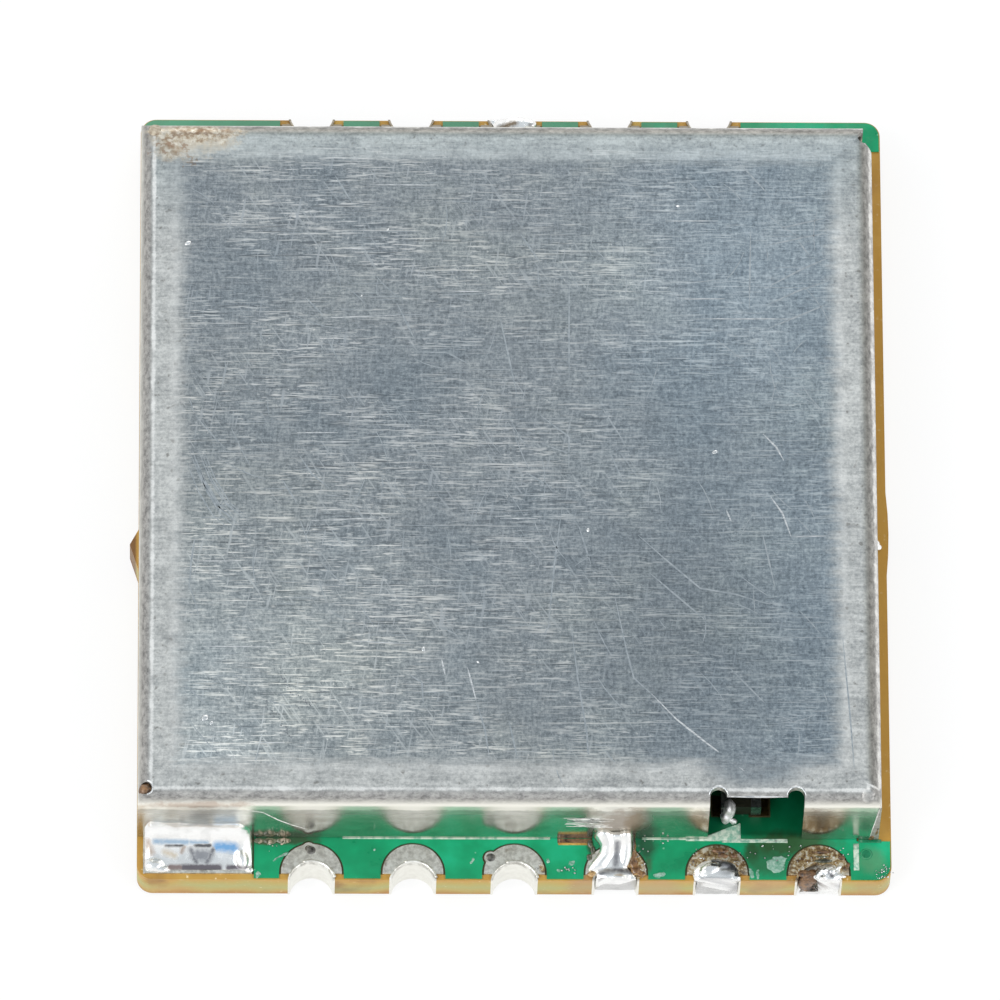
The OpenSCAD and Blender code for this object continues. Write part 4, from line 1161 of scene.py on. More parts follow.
def stain(piece: bpy.types.Object, marks: Sequence[Mark]) -> None:
    """Paint stains, painted shade and painted reflections on a solder piece.

    Args:
        piece: The solder.
        marks: The strokes to paint; where several meet, the strongest shows.
    """
    layer = piece.data.attributes.new(BrightSolder.mark, "FLOAT_COLOR", "POINT")
    for vert, value in zip(piece.data.vertices, layer.data):
        at = vert.co / MM
        best = max(marks, key=lambda mark: mark.strength(at))
        value.color = (*linear(best.colour)[:3], best.strength(at))


class Edge(Enum):
    """The two edges of the board that carry terminals."""

    FRONT = -1
    BACK = 1


@dataclass
class Board:
    """The bare board with its mask, lands and print."""

    pitch: float = 2.54
    front: float = BOARD_FRONT
    top: float = BOARD_TOP
    land: float = LAND_TOP
    drill_out: float = DRILL_OUT
    bore: float = BORE
    via_radius: float = 0.17
    front_count: int = 6
    back_count: int = 5
    middle_terminal: int = 3
    line: float = CAN_FRONT
    plugs: tuple[tuple[float, float], ...] = ((-5.09, -9.73), (-0.59, -9.91))
    scrapes: tuple[Spot, ...] = (
        (6.56, -10.08, 0.24, 0.22, 10.0),
        (6.62, -9.93, 0.2, 0.1, 0.0),
        (3.63, -10.36, 0.16, 0.07, 5.0),
        (6.1, -10.33, 0.04, 0.12, 0.0),
        (5.93, -10.3, 0.05, 0.14, 10.0),
        (1.44, -10.05, 0.1, 0.06, 30.0),
        (1.1, -10.24, 0.06, 0.04, 0.0),
        (0.85, -9.98, 0.05, 0.06, 0.0),
        (-5.8, -9.86, 0.3, 0.025, 28.0),
        (-5.72, -10.12, 0.16, 0.025, 35.0),
        (-6.42, -10.38, 0.05, 0.1, -10.0),
        (-1.06, -10.0, 0.03, 0.1, -30.0),
        (-3.5, -9.7, 0.04, 0.03, 0.0),
    )

    def terminal_x(self, number: int) -> float:
        """Give a terminal's place across, in millimetres."""
        return (number - self.middle_terminal) * self.pitch

    def build(self) -> None:
        """Dress the board's nodes and add its small relief."""
        dress(LAMINATE, "circuit_board")
        dress(MASK, "solder_mask_top", "solder_mask_bottom")
        dress(INK, "silkscreen_marks")
        fronts = [f"terminal_front_{i}" for i in range(1, self.front_count + 1)]
        backs = [f"terminal_back_{i}" for i in range(1, self.back_count + 1)]
        dress(LANDS, *fronts, *backs, "ground_pad", "can_land_left", "can_land_right")
        dress(GOLD, "component_lands")
        self.tented_vias()
        self.printed_marks()
        self.bore_rims()
        self.scraped_mask()
        self.bare_slit()

    def tented_vias(self) -> None:
        """Raise the mask a little over the filled vias: one in front of the can and rows underneath."""
        skin = Skin("tented_vias")
        spots = [(8.82, -9.78, 1)]
        picker = random.Random(SEED)
        for row in range(-3, 4):
            for column in range(-3, 4):
                jitter = picker.uniform(-0.35, 0.35)
                spots.append((column * 2.3 + jitter, row * 2.6 - jitter, -1))
        for x, y, side in spots:
            level = self.top if side > 0 else 0.0
            self.via(skin, Vector((x, y, level)), side)
        skin.piece(MASK, "solder_mask")
        dimple = Skin("via_dimple")
        dimple.ball((8.82, -9.78, self.top), (0.16, 0.15, 0.014))
        # A thin strip of the same darker mask runs along the can's foot at the front right.
        dimple.panel(self.rectangle(8.62, 9.2, -9.47, -9.385, self.top), UP, 0.012, 4)
        dimple.piece(DARK_MASK, "solder_mask")
        plug = Skin("via_plugs")
        for x, y in self.plugs:
            plug.ball((x, y, self.land - 0.01), (0.13, 0.12, 0.025))
        plug.piece(DULL, "tinned_copper")

    def via(self, skin: Skin, at: Vector, side: int) -> None:
        """Add one mask-covered via: a low ring with a dimple.

        Args:
            skin: The skin that takes it.
            at: Its middle on the board's face.
            side: 1 on top and -1 underneath.
        """
        made = bmesh.ops.create_cone(
            skin.mesh,
            cap_ends=True,
            segments=20,
            radius1=self.via_radius,
            radius2=self.via_radius * 0.72,
            depth=0.03,
            matrix=Matrix.Translation(at) @ Matrix.Rotation(0.0 if side > 0 else math.pi, 4, "X"),
        )
        faces = [f for v in made["verts"] for f in v.link_faces]
        lid = max(faces, key=lambda f: f.calc_center_median().z * side)
        bmesh.ops.inset_region(skin.mesh, faces=[lid], thickness=self.via_radius * 0.3, depth=0.0)
        bmesh.ops.translate(skin.mesh, verts=lid.verts, vec=(0, 0, -0.025 * side))

    def printed_marks(self) -> None:
        """Print the worn line along the can's foot, the bar and the tapered mark in the window."""
        skin = Skin("printed_marks")
        level = self.top + 0.004
        for start, end, wide in ((-4.3, 0.9, 0.032), (4.3, 5.3, 0.06), (5.2, 6.85, 0.1), (3.2, 4.4, 0.03)):
            y = self.line - wide / 2
            skin.panel(self.rectangle(start, end, y - wide / 2, y + wide / 2, level), UP, 0.006, 8)
        skin.panel(self.rectangle(8.5, 8.64, -10.22, -9.5, level), UP, 0.006, 4)
        wedge = ((4.5, -9.43, level), (5.68, -9.4, level), (5.67, -8.95, level), (5.5, -9.02, level))
        skin.panel(wedge, UP, 0.006, 8)
        skin.ripple(0.004, 0.06)
        skin.piece(INK, "white_ink", ("silkscreen_marks",))

    def rectangle(self, x0: float, x1: float, y0: float, y1: float, z: float) -> tuple[Point, ...]:
        """Give the corners of a level rectangle."""
        return (x0, y0, z), (x1, y0, z), (x1, y1, z), (x0, y1, z)

    def bore_rims(self) -> None:
        """Raise the tin bead that hot air leaves on the upper rim of each open half-hole."""
        skin = Skin("bore_rims")
        y = abs(self.front) + self.drill_out
        for number in (1, 2, 3):
            skin.bead((self.terminal_x(number), -y, self.land), self.bore + 0.05, 0.045, 15.0, 95.0)
            skin.bead((self.terminal_x(number), -y, self.land), self.bore + 0.03, 0.026, 110.0, 58.0)
        for number in (1, 2, 4, 5):
            skin.bead((self.terminal_x(number), y, self.land), self.bore + 0.03, 0.03, 195.0, 150.0)
        skin.trim((0, self.front, 0), (0, -1, 0))
        skin.trim((0, -self.front, 0), (0, 1, 0))
        skin.ripple(0.012, 0.12)
        skin.piece(LANDS, "tinned_copper")

    def scraped_mask(self) -> None:
        """Lay the pale patches where the mask was scraped."""
        skin = Skin("scraped_mask")
        for x, y, wide, deep, turn in self.scrapes:
            skin.ball((x, y, self.top - 0.002), (wide, deep, 0.012), (0, 0, turn), detail=3)
        # Without a seed this noise starts from the clock, and the ragged outlines change with each run.
        noise.seed_set(SEED)
        for vert in skin.mesh.verts:
            drift = noise.noise_vector(vert.co / 0.09) * 0.05 + noise.noise_vector(vert.co / 0.04) * 0.02
            vert.co = vert.co + Vector((drift.x, drift.y, 0))
        skin.piece(SCRAPED_MASK, "solder_mask")

    def bare_slit(self) -> None:
        """Open the mask in a slit at the can's foot, left of the bridge."""
        skin = Skin("bare_slit")
        skin.panel(self.rectangle(1.1, 1.92, -9.56, -9.5, self.top), UP, 0.006, 6)
        skin.piece(BARE, "laminate")
        soil = Skin("slit_soil")
        soil.panel(self.rectangle(1.08, 1.95, -9.51, -9.385, self.top), UP, 0.006, 10)
        soil.ripple(0.006, 0.08)
        soil.piece(CHARRED_FLUX, "solder")


@dataclass
class ShieldCan:
    """The folded can: its finish, and the scratches that are deep enough to stand in relief."""

    top: float = CAN_TOP
    front: float = CAN_FRONT
    dashes: int = 150
    hairs: int = 110
    outline: tuple[float, float, float, float] = (-9.43, 9.13, -9.38, 9.32)
    bend: float = CAN_BEND
    slope: float = 0.7
    crown: float = 0.04
    slots: tuple[float, float] = (5.05, 6.99)
    slot_y: float = -9.18
    slot_radius: float = 0.235
    field: tuple[float, float, float, float] = (-8.3, 7.9, -8.2, 8.1)
    deep: tuple[Path, ...] = (
        ((6.27, 0.66), (6.60, 0.29), (6.78, -0.07)), ((6.44, -1.07), (6.73, -1.52), (6.94, -2.17)),
        ((6.94, -2.17), (7.83, -2.14)), ((5.32, -1.44), (5.43, -1.73)),
        ((3.40, -6.47), (4.01, -7.15), (4.74, -7.78), (5.69, -8.54)), ((-1.85, -5.53), (-1.76, -5.97)),
        ((4.11, 4.39), (5.37, 4.40)), ((4.63, 3.84), (7.09, 3.85)), ((3.85, 6.56), (5.19, 6.57)),
        ((-0.37, -2.31), (0.51, -2.33)), ((-0.37, -1.69), (0.59, -1.69)), ((-7.82, -5.22), (-6.13, -5.22)),
        ((-4.07, -5.06), (-2.60, -5.13)), ((-5.10, -1.77), (-3.18, -1.68)),
        ((-1.56, -2.84), (-0.68, -2.83)), ((-8.05, -2.89), (-6.87, -2.88)),
        ((-6.57, -7.83), (-5.76, -7.82)), ((-4.36, 5.75), (-3.55, 5.75)), ((-4.81, 3.82), (-2.88, 3.91)),
        ((-3.62, 7.54), (-1.90, 7.54)), ((-1.54, 4.57), (-0.80, 4.58)), ((-6.00, 2.38), (-5.33, 2.38)),
        ((-2.15, 1.03), (-0.66, 1.07)), ((-5.47, 0.65), (-4.44, 0.65)), ((-5.03, 0.39), (-3.92, 0.40)),
        ((-1.20, -5.77), (-0.99, -6.65)),
    )
    fine: tuple[Path, ...] = (
        ((6.37, 5.88), (7.27, 6.10), (8.05, 6.26)), ((6.75, 6.37), (7.95, 6.67)),
        ((6.36, 4.69), (7.26, 5.21), (8.08, 5.60)), ((6.42, 4.24), (7.25, 4.65), (8.07, 4.94)),
        ((6.45, 3.59), (7.99, 4.29)), ((6.82, 3.18), (8.20, 3.80)), ((7.23, 6.01), (7.48, 5.64)),
        ((6.02, 6.33), (5.96, 4.12)), ((0.19, 6.18), (0.67, 5.40)), ((1.20, 8.31), (1.50, 7.78)),
        ((4.82, 7.48), (5.04, 7.15)), ((2.24, 1.33), (2.75, 0.44)), ((1.41, 4.91), (1.39, 2.13)),
        ((1.19, -1.38), (0.99, -2.95), (0.83, -4.64)),
        ((1.39, -4.56), (1.56, -6.08), (1.77, -7.52), (1.80, -8.08), (2.31, -8.75)),
        ((2.50, -3.83), (2.78, -5.28), (2.96, -6.04), (3.40, -6.47)),
        ((3.09, -2.13), (3.76, -2.78), (4.64, -3.58), (5.51, -3.74), (6.40, -4.02)),
        ((3.39, -3.18), (4.78, -4.47)), ((5.35, -5.74), (6.22, -6.70)),
        ((8.20, -4.93), (8.35, -7.01), (8.44, -8.45)), ((6.23, -2.12), (6.52, -3.57)),
        ((-0.17, -7.21), (0.04, -8.24)), ((2.38, 0.20), (2.74, -0.68)), ((1.61, -1.90), (1.91, -2.95)),
        ((-5.40, 0.01), (-5.10, -0.48), (-4.66, -0.87)), ((-5.84, -0.64), (-5.47, -1.29)),
        ((-8.06, 0.0), (-7.76, -0.81), (-7.39, -1.46), (-6.95, -1.86)),
        ((-8.02, -2.26), (-8.12, -2.91), (-8.16, -3.59)), ((-0.99, -6.65), (-0.77, -7.45), (-0.66, -8.24)),
        ((-2.68, -5.94), (-2.34, -6.18), (-2.31, -6.74)), ((-8.30, -6.24), (-7.71, -6.80)),
        ((-4.51, 7.80), (-4.07, 7.02)), ((-2.95, 4.25), (-2.51, 3.26)), ((-5.25, 4.39), (-4.81, 3.90)),
        ((-2.51, 2.89), (-1.69, 2.88), (-1.10, 2.54)), ((0.65, 1.16), (1.38, 0.56), (1.37, -0.27)),
        ((0.27, -0.41), (1.02, -0.90)), ((5.77, 8.17), (6.47, 7.33)), ((-0.34, 3.84), (0.07, 1.74)),
    )
    scuffs: tuple[Path, ...] = (
        ((-6.06, -5.77), (-5.59, -6.40)),
        ((-5.49, -6.5), (-5.11, -6.83)),
        ((-6.29, -6.67), (-5.95, -7.2)),
        ((-5.85, -7.3), (-5.61, -7.70)),
        ((-5.89, -5.80), (-5.39, -6.99)),
    )
    nicks: tuple[tuple[float, float, float], ...] = (
        (-8.23, 5.89, 0.09), (5.05, 0.16, 0.075), (1.84, -2.00, 0.06), (-7.76, -7.16, 0.11),
        (-7.6, -7.3, 0.06), (4.18, 6.98, 0.045), (-3.17, 6.29, 0.04), (-3.84, 4.44, 0.035),
        (-2.30, -5.27, 0.07), (-0.94, -5.62, 0.045),
    )

    def build(self) -> None:
        """Dress the can and add its scratches, nicks and filled corners."""
        dress(SHEET, "shield_can")
        self.scratches()
        self.nick_specks()
        self.front_seam()
        self.corner_plugs()
        self.wall_scratches()

    def on_top(self, path: Sequence[tuple[float, float]]) -> list[Point]:
        """Lay a flat path on the can's top, which is pressed up a little inside its border.

        Args:
            path: Places across and along.

        Returns:
            The same places with the sheet's height.
        """
        left, right, front, back = self.outline
        laid = []
        for x, y in path:
            inside = min(x - left, right - x, y - front, back - y) - self.bend
            drop = self.crown * (1 - min(1.0, max(0.0, inside / self.slope)))
            past = min(0.0, inside)
            drop += self.bend - math.sqrt(max(0.0, self.bend**2 - past**2))
            laid.append((x, y, self.top - drop))
        return laid

    def somewhere(self, picker: random.Random) -> tuple[float, float]:
        """Pick a place on the pressed top."""
        left, right, front, back = self.field
        return picker.uniform(left, right), picker.uniform(front, back)

    def scratches(self) -> None:
        """Lay bright and dark scratches on the can's top, the large ones by place and the rest by chance."""
        picker = random.Random(SEED + 1)
        bright = Skin("can_scratches")
        for path in self.deep:
            level = abs(path[0][1] - path[-1][1]) < 0.12
            bright.ribbon(self.on_top(path), 0.03 if level else 0.045, UP)
        bright.piece(RUBBED, "tin_plated_sheet", smooth=False)
        faint = Skin("can_hairlines")
        for path in self.fine:
            faint.ribbon(self.on_top(path), 0.045, UP, 0.001)
        for number in range(7):
            shift = -0.18 + number * 0.07
            lift = picker.uniform(-0.2, 0.2)
            arc = ((-8.06, 0.0), (-7.76, -0.81), (-7.39, -1.46), (-6.95, -1.86))
            faint.ribbon(self.on_top([(x + shift, y + shift * 0.4 + lift) for x, y in arc]), 0.03, UP, 0.001)
        for _ in range(self.dashes):
            x, y = self.somewhere(picker)
            end = min(self.field[1], x + picker.uniform(0.3, 1.6))
            dash = ((x - 0.05, y), (end, y + picker.uniform(-0.02, 0.02)))
            faint.ribbon(self.on_top(dash), 0.02, UP, 0.002)
        for _ in range(self.hairs):
            x, y = self.somewhere(picker)
            angle = picker.gauss(-1.0, 0.6)
            run = picker.uniform(0.1, 0.45)
            bow = picker.uniform(-0.2, 0.2)
            path = [(x, y)]
            for step in range(3):
                turn = angle + bow * step
                path.append((path[-1][0] + run * math.cos(turn), path[-1][1] + run * math.sin(turn)))
            faint.ribbon(self.on_top(path), 0.025, UP, 0.001)
        faint.piece(FAINT, "tin_plated_sheet", smooth=False)
        dark = Skin("can_scuffs")
        for (x0, y0), (x1, y1) in self.scuffs:
            for step in range(10):
                share = (step + picker.uniform(0.0, 0.9)) / 10
                size = picker.uniform(0.015, 0.04)
                spot = (x0 + (x1 - x0) * share + picker.gauss(0, 0.03), y0 + (y1 - y0) * share)
                dark.ball(self.on_top((spot,))[0], (size, size * 0.6, 0.004), (0, 0, -60), detail=1)
        dark.piece(SCUFF, "tin_plated_sheet", smooth=False)

    def nick_specks(self) -> None:
        """Raise small bright burrs where the can was struck."""
        skin = Skin("can_nicks")
        for x, y, size in self.nicks:
            skin.ball((x, y, self.top), (size, size * 0.7, 0.02), (0, 0, x * 40), detail=2)
        skin.ripple(0.012, 0.05)
        skin.piece(RUBBED, "tin_plated_sheet")

    def front_seam(self) -> None:
        """Close the front right seam: the wall up to its bright cut edge, and dull tin and soot beyond."""
        y = self.front
        wall = Skin("seam_wall")
        wall.panel(((8.7, y, 1.03), (8.9, y, 1.03), (9.06, y, 3.05), (8.7, y, 3.05)), FORWARD, 0.006, 8)
        wall.piece(SHEET, "tin_plated_sheet", smooth=False)
        fill = Skin("seam_fill")
        fill.panel(((8.9, y, 1.03), (9.125, y, 1.03), (9.125, y, 3.05), (9.06, y, 3.05)), FORWARD, 0.008, 8)
        fill.piece(OXIDE, "tin_plated_sheet", smooth=False)
        soot = Skin("seam_soot")
        soot.ball((8.95, y - 0.01, 1.12), (0.06, 0.02, 0.13), (0, 10, 0))
        soot.ball((9.07, y, 1.5), (0.025, 0.015, 0.25), (0, 6, 0))
        soot.ripple(0.02, 0.08)
        soot.piece(CHARRED_FLUX, "solder")
        edge = Skin("seam_edge")
        edge.ribbon(((9.1, y, 3.14), (9.01, y, 2.1), (8.9, y, 1.1)), 0.05, Vector((0.25, -0.6, 0.76)), 0.012)
        edge.piece(BURNISHED, "tin_plated_sheet", smooth=False)

    def corner_plugs(self) -> None:
        """Half fill the corner relief holes with flux and tin, and brighten the clipped corner's edge."""
        flux = Skin("corner_flux")
        flux.ball((-9.24, -9.03, 3.2), (0.17, 0.17, 0.14))
        flux.ripple(0.02, 0.08)
        flux.piece(CHARRED_FLUX, "solder")
        crust = Skin("corner_crust")
        crust.ball((-9.08, 9.1, 3.3), (0.2, 0.2, 0.055), (-25, 0, 0))
        crust.ripple(0.02, 0.08)
        crust.piece(BEIGE_FLUX, "solder")
        tin = Skin("corner_tin")
        tin.ball((8.78, -9.17, 3.3), (0.2, 0.2, 0.05), (25, 0, 0))
        tin.piece(SHEET, "tin_plated_sheet")
        rim = Skin("corner_rim")
        rim.bead((-9.23, -9.03, 3.385), 0.19, 0.022, -80.0, 160.0)
        for cut in (((8.885, 9.22), (8.885, 9.08)), ((8.93, 8.79), (9.07, 8.66))):
            rim.ribbon(self.on_top(cut), 0.05, UP, 0.006)
        reach = self.slot_radius
        angles = [math.radians(20 * step) for step in range(10)]
        for x in self.slots:
            arc = [(x + reach * math.cos(a), self.slot_y + reach * math.sin(a)) for a in angles]
            rim.ribbon(self.on_top(arc), 0.06, UP, 0.008)
        start, end = self.slots
        lip = [(start + share * (end - start), -9.21) for share in (0.12, 0.5, 0.88)]
        rim.ribbon(self.on_top(lip), 0.05, Vector((0, -0.54, 0.84)), 0.006)
        rim.piece(RUBBED, "tin_plated_sheet")

    def wall_scratches(self) -> None:
        """Scratch the front wall above the bridge and beside the ground pad."""
        picker = random.Random(SEED + 2)
        pale, dark = Skin("wall_scratches"), Skin("wall_scuffs")
        for number in range(20):
            x = picker.uniform(1.2, 1.6)
            z = picker.uniform(1.75, 2.35)
            end = (picker.uniform(2.1, 2.5), self.front, z - picker.uniform(-0.05, 0.15))
            bow = ((x + end[0]) / 2, self.front, z + picker.uniform(-0.06, 0.02))
            skin = dark if number % 5 == 0 else pale
            skin.ribbon(((x, self.front, z), bow, end), picker.uniform(0.02, 0.045), FORWARD, 0.004)
        run = ((-6.7, 2.76), (-6.3, 2.62), (-5.9, 2.12), (-5.55, 1.8), (-5.2, 1.56))
        pale.ribbon([(x, self.front, z) for x, z in run], 0.035, FORWARD, 0.004)
        pale.piece(BURNISHED, "tin_plated_sheet", smooth=False)
        dark.piece(SCUFF, "tin_plated_sheet", smooth=False)


@dataclass
class SolderWork:
    """Solder laid by hand on the pads, the can and three terminals."""

    land: float = LAND_TOP
    edge: float = BOARD_FRONT
    wall: float = CAN_FRONT
    drill_out: float = DRILL_OUT
    bore: float = BORE
    voxel: float = 0.022
    fine_voxel: float = 0.018
    ledge: float = 0.08

    def build(self) -> None:
        """Sculpt every solder joint."""
        self.ground_pad()
        self.bridge()
        self.antenna_terminal()
        self.last_terminal()
        self.back_terminal()
        self.can_tack()

    def fill(self, skin: Skin, x: float, side: Edge, low: float, high: float) -> None:
        """Fill a half-round terminal with solder.

        Args:
            skin: The skin that takes the fill.
            x: The terminal's place across.
            side: The edge that the terminal is in.
            low: Where the fill starts.
            high: Where the fill ends.
        """
        y = (abs(self.edge) + self.drill_out) * side.value
        skin.rod((x, y, (low + high) / 2), (self.bore - 0.02, self.bore - 0.02), high - low)

    def cove(
        self, width: tuple[float, float], depth: float, rise: Callable[[float], float]
    ) -> Callable[[float, float], Point]:
        """Give the surface of a fillet between the can's wall and the board.

        Args:
            width: Its two ends across.
            depth: How far it reaches out from the wall.
            rise: Its height at a share of its width.

        Returns:
            The function of two shares that gives a point of the fillet.
        """

        def shape(u: float, v: float) -> Point:
            """Give a point of the fillet.

            Args:
                u: The share of its width.
                v: The share of the way from the wall out.

            Returns:
                The point.
            """
            share = max(0.0, (v - self.ledge) / (1 - self.ledge))
            inside = 0.1 * max(0.0, (self.ledge - v) / self.ledge)
            angle = share * math.pi / 2
            tall = rise(u)
            x = width[0] + (width[1] - width[0]) * u
            y = self.wall + inside - depth * (1 - math.cos(angle))
            toe = 0.05 * (1 - share**6)
            return x, y, self.land + tall * (1 - math.sin(angle)) + toe

        return shape

    def ground_pad(self) -> None:
        """Sculpt the wide fillet on the ground pad."""
        skin = Skin("ground_pad_fillet")

        def rise(u: float) -> float:
            """Give the fillet's height, which falls to the left end and rounds off at the right.

            Args:
                u: The share of its width.

            Returns:
                The height.
            """
            left = min(1.0, 0.6 + u / 0.1)
            right = math.sqrt(max(0.0, 1 - max(0.0, (u - 0.84) / 0.16) ** 2))
            return (0.98 - 0.12 * u) * left * (0.1 + 0.9 * right)

        skin.cloth(120, 60, self.cove((-9.26, -6.56), 0.97, rise), self.land)
        skin.ball((-9.02, -10.14, 1.04), (0.26, 0.18, 0.13))
        skin.ball((-8.82, -10.26, 1.03), (0.2, 0.09, 0.08))
        skin.ball((-6.84, -9.92, 1.03), (0.19, 0.36, 0.2), (0, 0, 12))
        skin.ball((-6.62, -10.28, 1.03), (0.1, 0.08, 0.07))
        skin.fuse(self.voxel, 10)
        skin.trim((0, 0, self.land), (0, 0, -1))
        skin.ripple(0.012, 0.6)
        skin.ripple(0.004, 0.16, 3.0)
        # The grey and blue marks, the dark foot band among them, are painted shade and painted reflections;
        # the rust mark is a stain.
        smoke_and_shade, blue, rust = "#686268", "#72A9DA", "#8A6A50"
        stain(
            skin.piece(SOLDER, "solder", ("ground_pad_solder",)),
            (
                Mark(((-9.0, -9.64, 1.36), (-8.2, -9.66, 1.35)), 0.08, "#A3BCD2", 0.9),
                Mark(((-8.1, -9.66, 1.35), (-7.7, -9.66, 1.33)), 0.07, "#A3BCD2", 0.8),
                Mark(((-7.42, -9.76, 1.3), (-7.04, -9.78, 1.28)), 0.13, blue, 1.0),
                Mark(((-8.72, -9.72, 1.28), (-8.3, -9.72, 1.28)), 0.045, "#5F5F62", 0.9),
                Mark(((-8.28, -9.75, 1.26), (-8.33, -9.85, 1.19)), 0.07, rust, 0.7),
                Mark(((-8.74, -9.86, 1.19), (-8.5, -9.94, 1.15)), 0.1, "#D3C6B2", 0.8),
                Mark(((-7.98, -9.72, 1.28), (-7.62, -9.72, 1.28)), 0.05, "#55565A", 1.0),
                Mark(((-7.54, -9.8, 1.23), (-7.7, -10.1, 1.08)), 0.085, "#77787D", 0.85),
                Mark(((-8.1, -9.8, 1.22), (-7.96, -10.1, 1.08)), 0.085, "#77787D", 0.85),
                Mark(((-7.94, -9.93, 1.15), (-7.74, -9.93, 1.15)), 0.17, "#8B8D92", 1.0),
                Mark(((-8.61, -10.22, 1.06), (-8.29, -10.22, 1.06)), 0.07, "#8C7B78", 1.1),
                Mark(((-8.29, -10.22, 1.06), (-7.4, -10.22, 1.06)), 0.075, smoke_and_shade, 1.2),
                Mark(((-7.16, -10.22, 1.06), (-6.73, -10.2, 1.06)), 0.06, smoke_and_shade, 1.1),
                Mark(((-9.2, -9.66, 1.36), (-9.08, -9.88, 1.2)), 0.11, "#A98F79", 0.7),
            ),
        )

    def bridge(self) -> None:
        """Sculpt the joint that runs from the can down into the fourth terminal."""
        skin = Skin("bridge_joint")
        left = (
            ((2.24, -9.46, 1.34), (0.25, 0.16, 0.3)),
            ((2.34, -9.64, 1.24), (0.19, 0.16, 0.22)),
            ((2.3, -9.86, 1.12), (0.19, 0.16, 0.17)),
            ((2.14, -10.08, 1.05), (0.21, 0.16, 0.14)),
            ((1.98, -10.2, 1.03), (0.14, 0.1, 0.1)),
        )
        right = (
            ((2.79, -9.46, 1.32), (0.19, 0.16, 0.28)),
            ((2.81, -9.64, 1.21), (0.17, 0.16, 0.21)),
            ((2.79, -9.86, 1.1), (0.17, 0.16, 0.16)),
            ((2.74, -10.06, 1.03), (0.15, 0.14, 0.12)),
        )
        valley = (
            ((2.54, -9.48, 1.27), (0.26, 0.15, 0.27)),
            ((2.53, -9.76, 1.1), (0.26, 0.2, 0.14)),
            ((2.5, -10.12, 1.03), (0.32, 0.26, 0.09)),
        )
        for run in (left, right, valley):
            skin.ridge(run)
        skin.ball((2.48, -10.34, 1.02), (0.46, 0.2, 0.1), detail=5)
        skin.ball((2.6, -10.46, 0.9), (0.34, 0.12, 0.24), detail=5)
        self.fill(skin, 2.54, Edge.FRONT, 0.3, 1.02)
        skin.fuse(self.voxel, 18)
        skin.trim((0, self.edge + 0.02, 0), (0, -1, 0))
        skin.trim((0, self.wall + 0.01, 0), (0, 1, 0))
        skin.ripple(0.006, 0.4, 1.7)
        # The grey and slate marks are painted shade in the valley and along the foot.
        grey, slate = "#86868A", "#737377"
        stain(
            skin.piece(SOLDER, "solder", ("bridge_solder",)),
            (
                Mark(((2.57, -9.64, 1.36), (2.56, -9.82, 1.2), (2.53, -10.12, 1.1)), 0.08, grey, 1.1),
                Mark(((2.16, -10.36, 1.05), (2.52, -10.28, 1.06), (2.88, -10.31, 1.06)), 0.08, slate, 1.1),
                Mark(((2.92, -9.5, 1.45), (2.95, -9.9, 1.12)), 0.05, "#7A6247", 0.9),
                Mark(((2.2, -10.48, 0.98), (2.34, -10.48, 0.92)), 0.08, "#4A3F38", 1.1),
                Mark(((2.3, -10.48, 0.75), (2.8, -10.48, 0.6)), 0.12, "#B7B7B7", 0.9),
            ),
        )

    def antenna_terminal(self) -> None:
        """Sculpt the dome on the antenna terminal."""
        skin = Skin("antenna_joint")
        skin.ball((5.05, -10.34, 1.0), (0.6, 0.42, 0.14))
        skin.ball((4.92, -10.28, 1.06), (0.3, 0.22, 0.13), (25, 0, 20), detail=2)
        skin.ball((5.26, -10.24, 1.02), (0.24, 0.24, 0.1), (15, 10, 0), detail=2)
        skin.ball((4.64, -10.44, 1.0), (0.12, 0.1, 0.1))
        skin.ball((5.56, -10.44, 1.0), (0.12, 0.1, 0.1))
        self.fill(skin, 5.08, Edge.FRONT, 0.12, 1.04)
        skin.fuse(self.voxel, 5)
        skin.trim((0, self.edge, 0), (0, -1, 0))
        skin.ripple(0.012, 0.22, 4.1)
        # The grey marks are painted shade and painted reflections on the dome and the fill.
        stain(
            skin.piece(SOLDER, "solder", ("antenna_terminal_solder",)),
            (
                Mark(((5.2, -10.06, 1.2), (5.42, -10.16, 1.15)), 0.12, "#85858C", 1.0),
                Mark(((4.72, -10.5, 1.05), (5.38, -10.5, 1.04)), 0.07, "#8F8F93", 1.1),
                Mark(((5.05, -10.36, 1.2), (5.36, -10.36, 1.14)), 0.06, "#CFCFD0", 0.9),
                Mark(((4.75, -10.5, 0.55), (5.5, -10.5, 0.5)), 0.2, "#D2D3D5", 0.9),
                Mark(((4.9, -10.5, 0.3), (5.3, -10.5, 0.28)), 0.06, "#A9A9AC", 0.8),
            ),
        )

